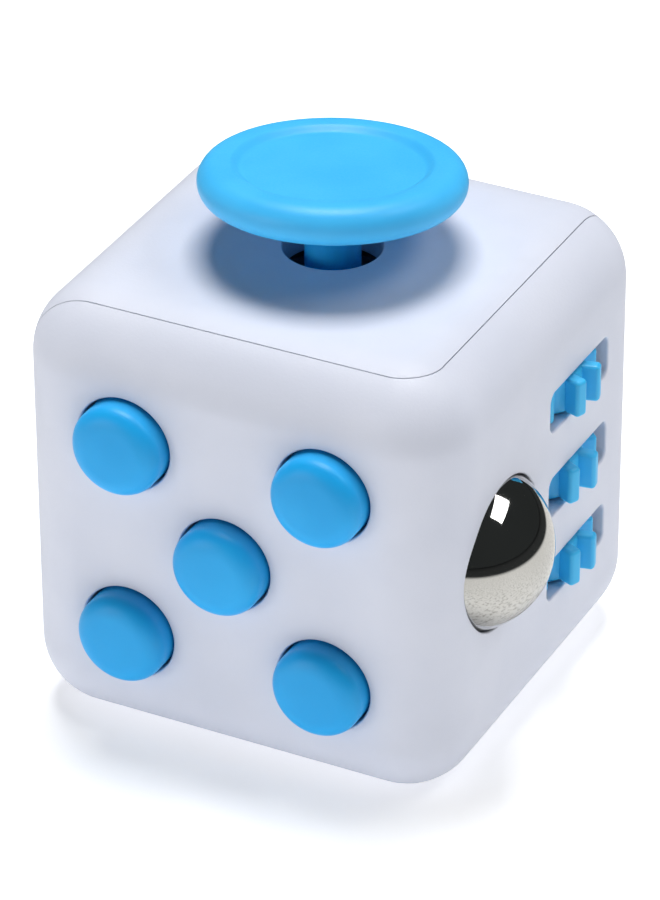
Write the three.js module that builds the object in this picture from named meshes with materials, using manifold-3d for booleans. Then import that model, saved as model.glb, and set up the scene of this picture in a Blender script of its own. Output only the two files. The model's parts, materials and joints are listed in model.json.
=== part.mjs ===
// Fidget cube: a hand-held desk toy with six faces to play with.
// Millimetres, +Z up, origin at the centre of the face it stands on.
// Front (-Y) buttons, right (+X) ball and gear wheels, top (+Z) glide pad,
// left (-X) spinning dial, back (+Y) rocker switch, bottom (-Z) thumb hollow.
import * as THREE from 'three';
import { mergeVertices } from 'three/addons/utils/BufferGeometryUtils.js';
import { RoundedBoxGeometry } from 'three/addons/geometries/RoundedBoxGeometry.js';
import Module from 'manifold-3d';

// ---- driving dimensions ----

// casing
const CUBE = 33;
const EDGE_RADIUS = 5.2;
const WALL = 2;
const SEAM_INSET = 3;
const SEAM_RADIUS = 2.6;
const SEAM_GAP = 0.2;
const BOSS_HEIGHT = 1.1;
const BOSS_RADIUS = 1.7;

// click face
const BUTTON_RADIUS = 3.35;
const BUTTON_GAP = 0.2;
const BUTTON_PITCH = 7.5;
const BUTTON_PROUD = 2.1;
const BUTTON_ROUND = 1.1;
const BUTTON_TRAVEL = 1;
const FLANGE_STEP = 0.6;
const FLANGE_THICK = 0.6;
const DOME_RADIUS = 3;
const DOME_SPARE_RISE = 0.3;
const DOME_SHEET = 0.25;
const DOME_CROWN = 0.48;
const DOME_SHOULDER = 0.82;
const CLICK_PLATE = 0.8;
const CLICK_PLATE_SIDE = 22.6;
const CLICK_SCREW_OFFSET = 8.8;

// roll face
const BALL_RADIUS = 6;
const BALL_PROUD = 3.3;
const BALL_GAP = 0.12;
const BALL_ALONG = -7.3;
const ROLL_RAISE = 0.4;
const BALL_TRAVEL = 0.8;
const SEAT_RADIUS = 2.6;
const SEAT_LENGTH = 2.8;
const BALL_SPRING_ROOM = 4.2;
const BALL_SPRING_TURNS = 4;
const BALL_SCREW_CLEAR = 1.2;
const WHEEL_ALONG = 4.65;
const WHEEL_RADIUS = 4.4;
const WHEEL_ROOT = 3.2;
const WHEEL_TEETH = 10;
const WHEEL_THICK = 2.8;
const WHEEL_PITCH = 6.8;
const TOOTH_SHARE_TIP = 0.36;
const TOOTH_SHARE_ROOT = 0.5;
const WHEEL_TURNS = [11.4, 7.7, 13.9];
const WINDOW_CLEAR = 0.15;
const WINDOW_FRONT_CLEAR = 0.28;
const WINDOW_BACK_CLEAR = 0.68;
const WINDOW_CORNER = 0.7;
const AXLE_RADIUS = 1;
const FRAME_SHEET = 1.2;
const FRAME_ARM = 1.4;
const FRAME_BACK = 0.5;
const FRAME_INSET = 0.8;
const WHEEL_SCREW_CLEAR = 0.3;
const WHEEL_SCREW_RISE = 7.6;
const LEAF_SHEET = 0.25;
const LEAF_NUB = 0.35;
const LEAF_HALF_LENGTH = 3;
const LEAF_WIDTH = 1.8;
const LEAF_ROOT = 1.4;

// glide face
const PAD_RADIUS = 9.23;
const PAD_RIM = 1.39;
const PAD_LIFT = 4.98;
const PAD_DISH_RADIUS = 6.6;
const PAD_DISH_DEPTH = 0.5;
const STEM_RADIUS = 1.95;
const STEM_HOLE_RADIUS = 3.53;
const PIVOT_DEPTH = 5;
const PAD_LEAN_X = -5.8;
const PAD_LEAN_Y = -2.2;
const SOCKET_CLEAR = 0.3;
const STEM_ENTRY = 0.2;
const STEM_WAIST = 1.3;
const FOOT_HEIGHT = 3.4;
const FOOT_THICK = 0.7;
const RING_INNER = 2.9;
const RING_OUTER = 4;
const RING_THICK = 1.8;
const PIN_INSET = 0.2;
const PIN_BITE = 0.5;
const PIVOT_PIN = 0.5;
const CUP_INNER = 4.7;
const CUP_WALL = 0.9;
const CUP_DEPTH = 6.3;
const GLIDE_SPRING_TURNS = 3;
const EAR_WEB_HALF = 1;
const GLIDE_SCREW_OFFSET = 7.4;

// spin face
const DIAL_RADIUS = 7;
const DIAL_GAP = 0.2;
const DIAL_PROUD = 1.2;
const DIAL_ROUND = 0.6;
const DIAL_NUB = 1.7;
const DIAL_NUB_OFFSET = -4.2;
const DIAL_NUB_PROUD = 3.3;
const DIAL_NUB_ROUND = 0.9;
const DIAL_HUB = 1.6;
const DIAL_HUB_FLARE = 1;
const DIAL_HUB_END = 0.6;
const DIAL_HUB_SCREW = 2.4;
const RETAINER_OVERLAP = 1;
const RETAINER_BORE_CLEAR = 0.2;
const RETAINER_SHEET = 0.8;
const DIAL_PLATE_DROP = 1;
const DIAL_PLATE_RADIUS = 8.6;
const DIAL_SCREW_OFFSET = 10.2;

// flip face
const ROCKER_END = 0.6;
const ROCKER_WIDTH = 7.4;
const ROCKER_GAP = 0.3;
const ROCKER_FLUSH = 0.3;
const ROCKER_SWING = 15;
const ROCKER_PIVOT_DEPTH = 3;
const ROCKER_HUB = 2;
const ROCKER_WING = 1.5;
const ROCKER_DRAFT = 0.2;
const PLUNGER_RADIUS = 0.8;
const PLUNGER_REACH = 2.2;
const PLUNGER_CORE = 0.3;
const TRACK_SHEET = 0.5;
const TRACK_HALF_ANGLE = 35;
const TRACK_WIDTH = 4;
const FLIP_BODY_GAP = 0.35;
const FLIP_BODY_WIDTH = 9;
const FLIP_BODY_DEPTH = 7;
const FLIP_WALL = 0.7;
const FLIP_SCREW_CLEAR = 0.9;

// thumb hollow
const HOLLOW_LENGTH = 20;
const HOLLOW_WIDTH = 15;
const HOLLOW_DEPTH = 1.6;
const HOLLOW_BOWL = 7.6;

// fasteners, pins and running fits
const SCREW_RADIUS = 0.75;
const SCREW_HEAD_RADIUS = 1.3;
const SCREW_HEAD = 1;
const SCREW_HEAD_BEVEL = 0.4;
const SCREW_BITE = 2.2;
const HOLE_CLEAR = 0.15;
const RUNNING_CLEAR = 0.1;
const REST_GAP = 0.1;
const SPRING_WIRE = 0.3;
const PART_CLEAR = 0.3;
const PLUG = 0.5;
const OVERRUN = 1;
const MERGE = 1e-4;

const HALF = CUBE / 2;
const TURN = Math.PI / 180;

// ---- finishes ----

const FINISH = {
  shell: { color: 0xe4e6f2, roughness: 0.55, metalness: 0 },
  blue: { color: 0x3f9fdb, roughness: 0.42, metalness: 0 },
  nylon: { color: 0xc9ccd2, roughness: 0.6, metalness: 0 },
  steel: { color: 0xd8dade, roughness: 0.08, metalness: 1 },
  spring: { color: 0xb5b8bc, roughness: 0.3, metalness: 1 },
};

// ---- solids ----

const wasm = await Module();
wasm.setup();

// Turns a three.js geometry into a solid, moved by an optional matrix.
function solid(geometry, matrix) {
  const bare = geometry.clone();
  bare.deleteAttribute('normal');
  bare.deleteAttribute('uv');
  if (matrix) bare.applyMatrix4(matrix);
  const merged = mergeVertices(bare, MERGE);
  return new wasm.Manifold(new wasm.Mesh({
    numProp: 3,
    vertProperties: new Float32Array(merged.attributes.position.array),
    triVerts: new Uint32Array(merged.index.array),
  }));
}

function geometryOf(body) {
  const mesh = body.getMesh();
  const geometry = new THREE.BufferGeometry();
  geometry.setAttribute('position', new THREE.BufferAttribute(mesh.vertProperties, 3));
  geometry.setIndex(new THREE.BufferAttribute(mesh.triVerts, 1));
  geometry.computeVertexNormals();
  return geometry;
}

const join = (first, ...rest) => rest.reduce((sum, body) => sum.add(body), first);
const cut = (first, ...rest) => rest.reduce((sum, body) => sum.subtract(body), first);
const move = (x, y, z) => new THREE.Matrix4().makeTranslation(x, y, z);

// A round solid about the local Z axis, from [radius, height] points.
function turned(points, segments, matrix) {
  const outline = points.map(([r, z]) => new THREE.Vector2(r, z));
  const lathe = new THREE.LatheGeometry(outline, segments);
  lathe.rotateX(Math.PI / 2);
  return solid(lathe, matrix);
}

function disc(radius, low, high, segments, matrix) {
  return turned([[0, low], [radius, low], [radius, high], [0, high]], segments, matrix);
}

function washer(inner, outer, low, high, segments, matrix) {
  const ring = [[inner, low], [outer, low], [outer, high], [inner, high], [inner, low]];
  return turned(ring, segments, matrix);
}

function block(low, high) {
  const size = high.map((value, axis) => value - low[axis]);
  const centre = high.map((value, axis) => (value + low[axis]) / 2);
  return solid(new THREE.BoxGeometry(...size), move(...centre));
}

// A flat plate with round corners, centred on x and y, between two heights.
function plate(width, height, corner, low, high, matrix) {
  const outline = new THREE.Shape();
  const [w, h] = [width / 2 - corner, height / 2 - corner];
  outline.absarc(w, h, corner, 0, Math.PI / 2);
  outline.absarc(-w, h, corner, Math.PI / 2, Math.PI);
  outline.absarc(-w, -h, corner, Math.PI, 1.5 * Math.PI);
  outline.absarc(w, -h, corner, 1.5 * Math.PI, 2 * Math.PI);
  const slab = new THREE.ExtrudeGeometry(outline, {
    depth: high - low, bevelEnabled: false, curveSegments: 4,
  });
  slab.translate(0, 0, low);
  return solid(slab, matrix);
}

// Lays a round solid's axis along local X or local Y.
const ALONG_X = new THREE.Matrix4().makeRotationY(Math.PI / 2);
const ALONG_Y = new THREE.Matrix4().makeRotationX(-Math.PI / 2);
const placed = (matrix, x, y, z) => move(x, y, z).multiply(matrix);

// A coil spring about local Z, made as one round wire.
class Coil extends THREE.Curve {
  constructor(radius, low, high, turns) {
    super();
    Object.assign(this, { radius, low, high, turns });
  }

  getPoint(t, target = new THREE.Vector3()) {
    const angle = 2 * Math.PI * this.turns * t;
    const height = this.low + (this.high - this.low) * t;
    return target.set(this.radius * Math.cos(angle), this.radius * Math.sin(angle), height);
  }
}

function coil(radius, low, high, turns) {
  const wire = new THREE.Shape();
  wire.absarc(0, 0, SPRING_WIRE, 0, 2 * Math.PI);
  const path = new Coil(radius, low + SPRING_WIRE, high - SPRING_WIRE, turns);
  return solid(new THREE.ExtrudeGeometry(wire, {
    extrudePath: path, steps: turns * 8, curveSegments: 2, bevelEnabled: false,
  }));
}

// A pan-head screw about local Z, its head below zero and its point at the given height.
function screw(length) {
  return turned([
    [0, -SCREW_HEAD], [SCREW_HEAD_RADIUS - SCREW_HEAD_BEVEL, -SCREW_HEAD],
    [SCREW_HEAD_RADIUS, SCREW_HEAD_BEVEL - SCREW_HEAD], [SCREW_HEAD_RADIUS, 0],
    [SCREW_RADIUS, 0], [SCREW_RADIUS, length - SCREW_RADIUS], [0, length],
  ], 8);
}

// ---- faces: each has its own frame, local Z outwards, zero on the outer surface ----

function faceFrame(across, up, out) {
  const axes = new THREE.Matrix4().makeBasis(
    new THREE.Vector3(...across), new THREE.Vector3(...up), new THREE.Vector3(...out),
  );
  return move(out[0] * HALF, out[1] * HALF, HALF + out[2] * HALF).multiply(axes);
}

const FACE = {
  click: faceFrame([1, 0, 0], [0, 0, 1], [0, -1, 0]),
  roll: faceFrame([0, 1, 0], [0, 0, 1], [1, 0, 0]),
  spin: faceFrame([0, -1, 0], [0, 0, 1], [-1, 0, 0]),
  flip: faceFrame([-1, 0, 0], [0, 0, 1], [0, 1, 0]),
  glide: faceFrame([1, 0, 0], [0, 1, 0], [0, 0, 1]),
  rest: faceFrame([1, 0, 0], [0, -1, 0], [0, 0, -1]),
};

const cube = new THREE.Group();
cube.name = 'fidget_cube';

function faceGroup(frame) {
  const group = new THREE.Group();
  group.applyMatrix4(frame);
  cube.add(group);
  return group;
}

function addPiece(parent, name, body, finish, position = [0, 0, 0]) {
  const material = new THREE.MeshStandardMaterial(FINISH[finish]);
  const mesh = new THREE.Mesh(geometryOf(body), material);
  mesh.name = name;
  mesh.position.set(...position);
  parent.add(mesh);
  return mesh;
}

// ---- casing ----

const BUTTONS = [
  ['centre', 0, 0],
  ['upper_left', -BUTTON_PITCH, BUTTON_PITCH],
  ['upper_right', BUTTON_PITCH, BUTTON_PITCH],
  ['lower_left', -BUTTON_PITCH, -BUTTON_PITCH],
  ['lower_right', BUTTON_PITCH, -BUTTON_PITCH],
];
const CLICK_SCREWS = [
  ['top', 0, CLICK_SCREW_OFFSET],
  ['left', -CLICK_SCREW_OFFSET, 0],
  ['bottom', 0, -CLICK_SCREW_OFFSET],
];
const GLIDE_SCREWS = [
  ['back', 0, GLIDE_SCREW_OFFSET],
  ['left', -GLIDE_SCREW_OFFSET, 0],
  ['front', 0, -GLIDE_SCREW_OFFSET],
];
const DIAL_SCREWS = [['upper', 0, DIAL_SCREW_OFFSET], ['lower', 0, -DIAL_SCREW_OFFSET]];
const BALL_SCREW_RISE = BALL_RADIUS + BALL_GAP + BOSS_RADIUS + BALL_SCREW_CLEAR;
const WHEEL_DEPTH = WALL + AXLE_RADIUS + RUNNING_CLEAR;
const WHEEL_CHORD = Math.sqrt(WHEEL_RADIUS ** 2 - (WHEEL_DEPTH - WALL) ** 2);
const WINDOW_FRONT = WHEEL_ALONG - WHEEL_CHORD - WINDOW_FRONT_CLEAR;
const WINDOW_BACK = WHEEL_ALONG + WHEEL_CHORD + WINDOW_BACK_CLEAR;
const WHEEL_SCREW_ALONG = WINDOW_BACK + BOSS_RADIUS + WHEEL_SCREW_CLEAR;
const ROLL_SCREWS = [
  ['ball_upper', BALL_ALONG, ROLL_RAISE + BALL_SCREW_RISE],
  ['ball_lower', BALL_ALONG, ROLL_RAISE - BALL_SCREW_RISE],
  ['wheel_upper', WHEEL_SCREW_ALONG, ROLL_RAISE + WHEEL_SCREW_RISE],
  ['wheel_lower', WHEEL_SCREW_ALONG, ROLL_RAISE - WHEEL_SCREW_RISE],
];
const WHEELS = ['bottom', 'middle', 'top'].map(
  (name, index) => [name, ROLL_RAISE + (index - 1) * WHEEL_PITCH, WHEEL_TURNS[index]],
);
const BALL_DEPTH = BALL_RADIUS - BALL_PROUD;
const WHEEL_BACK = -WHEEL_DEPTH - WHEEL_RADIUS;
const FRAME_TOP = WHEEL_BACK - 2 * FRAME_BACK - LEAF_SHEET;
const FRAME_LOW = FRAME_TOP - FRAME_SHEET;
const FLIP_BODY_HALF = HALF + FRAME_LOW - FLIP_BODY_GAP;
const ROCKER_HALF = FLIP_BODY_HALF - ROCKER_END;
const FLIP_SCREW_OFFSET = FLIP_BODY_HALF + BOSS_RADIUS + FLIP_SCREW_CLEAR;
const FLIP_SCREWS = [['left', FLIP_SCREW_OFFSET, 0], ['right', -FLIP_SCREW_OFFSET, 0]];

// The room that the ball needs, pushed in or not, in its own face's frame.
function ballSpace(clearance) {
  return [0, BALL_TRAVEL].map((travel) => new THREE.SphereGeometry(
    BALL_RADIUS + clearance, 24, 14,
  ).translate(BALL_ALONG, ROLL_RAISE, -BALL_DEPTH - travel));
}

const bossTop = -WALL + PLUG;
const bossEnd = -WALL - BOSS_HEIGHT;
const bossHole = bossEnd + SCREW_BITE + HOLE_CLEAR;

function bosses(frame, places) {
  return places.map(([, x, y]) => disc(
    BOSS_RADIUS, bossEnd, bossTop, 12, frame.clone().multiply(move(x, y, 0)),
  ));
}

function bossHoles(frame, places) {
  return places.map(([, x, y]) => disc(
    SCREW_RADIUS + HOLE_CLEAR, bossEnd - PLUG, bossHole, 8, frame.clone().multiply(move(x, y, 0)),
  ));
}

function roundHole(frame, radius, x, y, segments) {
  return disc(radius, -WALL - PLUG, PLUG, segments, frame.clone().multiply(move(x, y, 0)));
}

function wheelWindow(y) {
  const matrix = FACE.roll.clone().multiply(move((WINDOW_FRONT + WINDOW_BACK) / 2, y, 0));
  const height = WHEEL_THICK + 2 * WINDOW_CLEAR;
  return plate(WINDOW_BACK - WINDOW_FRONT, height, WINDOW_CORNER, -WALL - PLUG, PLUG, matrix);
}

function thumbBowl() {
  const lift = HOLLOW_BOWL - HOLLOW_DEPTH;
  const share = Math.sqrt(1 - (lift / HOLLOW_BOWL) ** 2);
  const bowl = new THREE.SphereGeometry(1, 28, 20);
  bowl.rotateX(Math.PI / 2);
  bowl.scale(HOLLOW_LENGTH / 2 / share, HOLLOW_WIDTH / 2 / share, HOLLOW_BOWL);
  return solid(bowl, FACE.rest.clone().multiply(move(0, 0, lift)));
}

function seamBlock(grow) {
  const size = 2 * CUBE;
  const shift = HALF - SEAM_INSET + grow - size / 2;
  const box = new RoundedBoxGeometry(size, size, size, 3, SEAM_RADIUS + grow);
  return solid(box, move(shift, -shift, HALF - shift));
}

// The room inside the walls, drawn in by a clearance.
function innerRoom(clearance) {
  const size = CUBE - 2 * (WALL + clearance);
  const radius = EDGE_RADIUS - WALL - clearance;
  return solid(new RoundedBoxGeometry(size, size, size, 2, radius), move(0, 0, HALF));
}

function wholeShell() {
  const outside = solid(new RoundedBoxGeometry(CUBE, CUBE, CUBE, 4, EDGE_RADIUS), move(0, 0, HALF));
  return cut(outside, innerRoom(0));
}

// The top, left and back faces.
function casingCover(shell) {
  const corner = join(
    shell.intersect(seamBlock(0)),
    ...bosses(FACE.spin, DIAL_SCREWS),
    ...bosses(FACE.flip, FLIP_SCREWS),
    ...bosses(FACE.glide, GLIDE_SCREWS),
  );
  return cut(
    corner,
    roundHole(FACE.glide, STEM_HOLE_RADIUS, 0, 0, 24),
    roundHole(FACE.spin, DIAL_RADIUS + DIAL_GAP, 0, 0, 32),
    plate(
      2 * (ROCKER_HALF + ROCKER_GAP), ROCKER_WIDTH + 2 * ROCKER_GAP, WINDOW_CORNER,
      -WALL - PLUG, PLUG, FACE.flip,
    ),
    ...bossHoles(FACE.spin, DIAL_SCREWS),
    ...bossHoles(FACE.flip, FLIP_SCREWS),
    ...bossHoles(FACE.glide, GLIDE_SCREWS),
  );
}

// The front, right and bottom faces.
function casingBase(shell) {
  const hollowPad = plate(
    HOLLOW_LENGTH + 2 * WALL, HOLLOW_WIDTH + 2 * WALL, EDGE_RADIUS,
    -WALL - HOLLOW_DEPTH, bossTop, FACE.rest,
  );
  const coverSpace = cut(seamBlock(SEAM_GAP), innerRoom(SEAM_GAP));
  const corner = cut(join(
    cut(shell, seamBlock(SEAM_GAP)),
    hollowPad,
    ...bosses(FACE.click, CLICK_SCREWS),
    ...bosses(FACE.roll, ROLL_SCREWS),
  ), coverSpace);
  const ballPocket = new THREE.SphereGeometry(BALL_RADIUS + BALL_GAP, 24, 12);
  const ballMouth = Math.sqrt((BALL_RADIUS + BALL_GAP) ** 2 - BALL_DEPTH ** 2);
  return cut(
    corner,
    ...BUTTONS.map(([, x, y]) => roundHole(FACE.click, BUTTON_RADIUS + BUTTON_GAP, x, y, 24)),
    ...WHEELS.map(([, y]) => wheelWindow(y)),
    solid(ballPocket, FACE.roll.clone().multiply(move(BALL_ALONG, ROLL_RAISE, -BALL_DEPTH))),
    roundHole(FACE.roll, ballMouth, BALL_ALONG, ROLL_RAISE, 24),
    thumbBowl(),
    ...bossHoles(FACE.click, CLICK_SCREWS),
    ...bossHoles(FACE.roll, ROLL_SCREWS),
  );
}

const shell = wholeShell();
addPiece(cube, 'casing_cover', casingCover(shell), 'shell');
addPiece(cube, 'casing_base', casingBase(shell), 'shell');

// A mechanism's plate rests on its bosses; its screws come from inside.
const seatTop = bossEnd - REST_GAP;

function addScrews(face, prefix, places, headTop) {
  const length = bossEnd + SCREW_BITE - headTop;
  places.forEach(([name, x, y]) => {
    addPiece(face, `${prefix}_screw_${name}`, screw(length), 'spring', [x, y, headTop]);
  });
}

// ---- click face: five buttons on snap domes ----

const click = faceGroup(FACE.click);
const flangeTop = -WALL - BUTTON_GAP;
const flangeLow = flangeTop - FLANGE_THICK;
const domeTop = flangeLow - REST_GAP;
const domeRise = BUTTON_TRAVEL + DOME_SPARE_RISE;
const domeLow = domeTop - domeRise;
const clickPlateTop = domeLow - REST_GAP;
const clickPlateLow = clickPlateTop - CLICK_PLATE;

function button() {
  const bend = BUTTON_ROUND * (1 - Math.SQRT1_2);
  return turned([
    [0, flangeLow],
    [BUTTON_RADIUS + FLANGE_STEP, flangeLow],
    [BUTTON_RADIUS + FLANGE_STEP, flangeTop],
    [BUTTON_RADIUS, flangeTop],
    [BUTTON_RADIUS, BUTTON_PROUD - BUTTON_ROUND],
    [BUTTON_RADIUS - bend, BUTTON_PROUD - bend],
    [BUTTON_RADIUS - BUTTON_ROUND, BUTTON_PROUD],
    [0, BUTTON_PROUD],
  ], 24);
}

// A pressed sheet dome: an outside line, and the same line a sheet's thickness in.
function clickDome() {
  const outside = [
    [DOME_RADIUS, domeLow], [DOME_RADIUS * DOME_SHOULDER, domeTop - domeRise * DOME_CROWN],
    [DOME_RADIUS * DOME_CROWN, domeTop - DOME_SHEET / 2], [0, domeTop],
  ];
  const [, shoulder, crown] = outside;
  return turned([
    [0, domeTop - DOME_SHEET], [crown[0] - DOME_SHEET / 2, crown[1] - DOME_SHEET],
    [shoulder[0] - DOME_SHEET, shoulder[1] - DOME_SHEET], [DOME_RADIUS - DOME_SHEET, domeLow],
    ...outside,
  ], 12);
}

function clickPlate() {
  const fromRoll = FACE.click.clone().invert().multiply(FACE.roll);
  const corner = EDGE_RADIUS - WALL;
  return cut(
    plate(CLICK_PLATE_SIDE, CLICK_PLATE_SIDE, corner, clickPlateLow, clickPlateTop),
    ...ballSpace(BALL_GAP + PART_CLEAR).map((sphere) => solid(sphere, fromRoll)),
    ...CLICK_SCREWS.map(([, x, y]) => disc(
      SCREW_RADIUS + HOLE_CLEAR, clickPlateLow - OVERRUN, clickPlateTop + OVERRUN, 8, move(x, y, 0),
    )),
  );
}

// Spacers carry the plate back to the depth that the domes need.
function clickSpacers() {
  return CLICK_SCREWS.map(([, x, y]) => washer(
    SCREW_RADIUS + HOLE_CLEAR, BOSS_RADIUS, clickPlateTop - REST_GAP, seatTop, 8, move(x, y, 0),
  ));
}

BUTTONS.forEach(([name, x, y]) => {
  addPiece(click, `click_button_${name}`, button(), 'blue', [x, y, 0]);
  addPiece(click, `click_dome_${name}`, clickDome(), 'spring', [x, y, 0]);
});
addPiece(click, 'click_plate', join(clickPlate(), ...clickSpacers()), 'nylon');
addScrews(click, 'click', CLICK_SCREWS, clickPlateLow - REST_GAP);

// ---- roll face: a sprung steel ball and three gear wheels on one axle ----

const roll = faceGroup(FACE.roll);
const seatFace = -BALL_DEPTH - Math.sqrt(BALL_RADIUS ** 2 - SEAT_RADIUS ** 2);
const seatLow = seatFace - SEAT_LENGTH;
const ballSpringLow = seatLow - BALL_SPRING_ROOM;
const guideInner = SEAT_RADIUS + HOLE_CLEAR;
const guideOuter = guideInner + CLICK_PLATE;

function gearWheel() {
  const outline = new THREE.Shape();
  const step = 2 * Math.PI / WHEEL_TEETH;
  for (let tooth = 0; tooth < WHEEL_TEETH; tooth += 1) {
    const corners = [
      [WHEEL_ROOT, -TOOTH_SHARE_ROOT / 2], [WHEEL_RADIUS, -TOOTH_SHARE_TIP / 2],
      [WHEEL_RADIUS, TOOTH_SHARE_TIP / 2], [WHEEL_ROOT, TOOTH_SHARE_ROOT / 2],
    ];
    corners.forEach(([radius, share], index) => {
      const angle = (tooth + share) * step;
      const point = [radius * Math.cos(angle), radius * Math.sin(angle)];
      if (tooth === 0 && index === 0) outline.moveTo(...point);
      else outline.lineTo(...point);
    });
  }
  outline.closePath();
  const bore = new THREE.Path();
  bore.absarc(0, 0, AXLE_RADIUS + RUNNING_CLEAR, 0, 2 * Math.PI, true);
  outline.holes.push(bore);
  const gear = new THREE.ExtrudeGeometry(outline, {
    depth: WHEEL_THICK, bevelEnabled: false, curveSegments: 10,
  });
  gear.translate(0, 0, -WHEEL_THICK / 2);
  return solid(gear);
}

// The wheels turn about local Y; their own X axis points out of the face.
const WHEEL_FRAME = new THREE.Matrix4().makeBasis(
  new THREE.Vector3(0, 0, 1), new THREE.Vector3(1, 0, 0), new THREE.Vector3(0, 1, 0),
);

function ballSeat() {
  const points = [[0, seatLow], [SEAT_RADIUS, seatLow], [SEAT_RADIUS, seatFace - REST_GAP]];
  for (let step = 1; step <= 4; step += 1) {
    const radius = SEAT_RADIUS * (1 - step / 4);
    points.push([radius, -BALL_DEPTH - Math.sqrt((BALL_RADIUS + REST_GAP) ** 2 - radius ** 2)]);
  }
  return turned(points, 20);
}

function rollFrame() {
  const armHalf = FRAME_ARM / 2;
  const axleZ = -WHEEL_DEPTH;
  const low = WHEEL_ALONG - WHEEL_RADIUS + FRAME_INSET;
  const high = WHEEL_ALONG + WHEEL_RADIUS - FRAME_INSET;
  const rises = [-1.5, -0.5, 0.5, 1.5].map((share) => ROLL_RAISE + share * WHEEL_PITCH);
  const top = rises[3] + armHalf;
  const bottom = rises[0] - armHalf;
  const arms = rises.map((rise) => block(
    [low, rise - armHalf, FRAME_LOW + PLUG], [high, rise + armHalf, -WALL - PART_CLEAR],
  ));
  const ballBack = block(
    [BALL_ALONG - guideOuter, bottom, FRAME_LOW], [low + OVERRUN, top, FRAME_TOP],
  );
  const wheelBackPlate = block([low, bottom, FRAME_LOW], [high, top, FRAME_TOP]);
  const lugs = ROLL_SCREWS.map(([, x, y]) => block(
    [Math.min(x, high) - BOSS_RADIUS, y - BOSS_RADIUS, FRAME_LOW],
    [x + BOSS_RADIUS, y + BOSS_RADIUS, FRAME_TOP],
  ));
  const pillars = ROLL_SCREWS.map(([, x, y]) => disc(
    BOSS_RADIUS, FRAME_LOW + PLUG, seatTop, 12, move(x, y, 0),
  ));
  const guideTop = seatFace - BALL_TRAVEL;
  const guide = disc(
    guideOuter, ballSpringLow - FRAME_SHEET, guideTop, 24, move(BALL_ALONG, ROLL_RAISE, 0),
  );
  const guideBore = disc(guideInner, ballSpringLow, 0, 24, move(BALL_ALONG, ROLL_RAISE, 0));
  const drain = disc(AXLE_RADIUS, -CUBE, 0, 8, move(BALL_ALONG, ROLL_RAISE, 0));
  const axleBore = disc(
    AXLE_RADIUS + RUNNING_CLEAR, bottom - OVERRUN, top + OVERRUN, 20,
    placed(ALONG_Y, WHEEL_ALONG, 0, axleZ),
  );
  const screwHoles = ROLL_SCREWS.map(([, x, y]) => disc(
    SCREW_RADIUS + HOLE_CLEAR, FRAME_LOW - OVERRUN, 0, 8, move(x, y, 0),
  ));
  const bowlRadius = BALL_RADIUS + BALL_GAP;
  const bowlLow = guideTop - FRAME_SHEET;
  const ballOver = FRAME_LOW + BALL_DEPTH + BALL_TRAVEL;
  const bowlReach = Math.sqrt(Math.max(0, bowlRadius ** 2 - ballOver ** 2));
  const bowl = disc(
    Math.max(guideOuter, bowlReach + CLICK_PLATE), Math.min(bowlLow, FRAME_LOW), FRAME_TOP, 24,
    move(BALL_ALONG, ROLL_RAISE, 0),
  );
  const ballRoom = ballSpace(BALL_GAP).map((sphere) => solid(sphere));
  const glideCup = disc(
    CUP_INNER + CUP_WALL + PART_CLEAR, -CUBE, CUBE, 28, placed(ALONG_Y, 0, 0, -HALF),
  );
  const aboveFlip = block([-CUBE, FLIP_BODY_WIDTH / 2 - OVERRUN, -CUBE], [CUBE, CUBE, CUBE]);
  const room = solid(geometryOf(innerRoom(PART_CLEAR)), FACE.roll.clone().invert());
  const behindPlate = block([-CUBE, -CUBE, -CUBE], [-HALF - clickPlateLow + REST_GAP, CUBE, CUBE]);
  return cut(
    join(wheelBackPlate, ballBack, ...arms, ...lugs, ...pillars, guide, bowl),
    guideBore, drain, axleBore, ...ballRoom, glideCup.intersect(aboveFlip),
    behindPlate, ...screwHoles,
  ).intersect(room);
}

// A comb of three thin fingers that drop between the teeth.
function detentLeaf() {
  const low = FRAME_TOP + REST_GAP;
  const end = WHEEL_ALONG - LEAF_HALF_LENGTH;
  const halfWidth = LEAF_WIDTH / 2;
  const combs = WHEELS.map(([, rise]) => join(
    block(
      [end, rise - halfWidth, low],
      [WHEEL_ALONG + LEAF_HALF_LENGTH, rise + halfWidth, low + LEAF_SHEET],
    ),
    solid(
      new THREE.CylinderGeometry(LEAF_NUB, LEAF_NUB, LEAF_WIDTH, 10),
      move(WHEEL_ALONG, rise, low + LEAF_NUB),
    ),
  ));
  const clearArm = FRAME_ARM / 2 + PART_CLEAR;
  const back = WHEELS.map(([, rise]) => block(
    [end, rise - WHEEL_PITCH / 2 + clearArm, low],
    [end + LEAF_ROOT, rise + WHEEL_PITCH / 2 - clearArm, low + LEAF_SHEET],
  ));
  return WHEELS.map((wheel, index) => [wheel[0], join(combs[index], back[index])]);
}

addPiece(
  roll, 'roll_ball', solid(new THREE.SphereGeometry(BALL_RADIUS, 24, 14)), 'steel',
  [BALL_ALONG, ROLL_RAISE, -BALL_DEPTH],
);
addPiece(roll, 'ball_seat', ballSeat(), 'nylon', [BALL_ALONG, ROLL_RAISE, 0]);
const springRadius = SEAT_RADIUS - 2 * SPRING_WIRE;
addPiece(
  roll, 'ball_spring',
  coil(springRadius, ballSpringLow + REST_GAP, seatLow - REST_GAP, BALL_SPRING_TURNS),
  'spring', [BALL_ALONG, ROLL_RAISE, 0],
);
addPiece(roll, 'roll_frame', rollFrame(), 'nylon');
WHEELS.forEach(([name, rise, angle]) => {
  const wheel = addPiece(roll, `roll_wheel_${name}`, gearWheel(), 'blue');
  const turnedFrame = placed(WHEEL_FRAME, WHEEL_ALONG, rise, -WHEEL_DEPTH);
  turnedFrame.multiply(new THREE.Matrix4().makeRotationZ(angle * TURN));
  wheel.applyMatrix4(turnedFrame);
});
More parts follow.
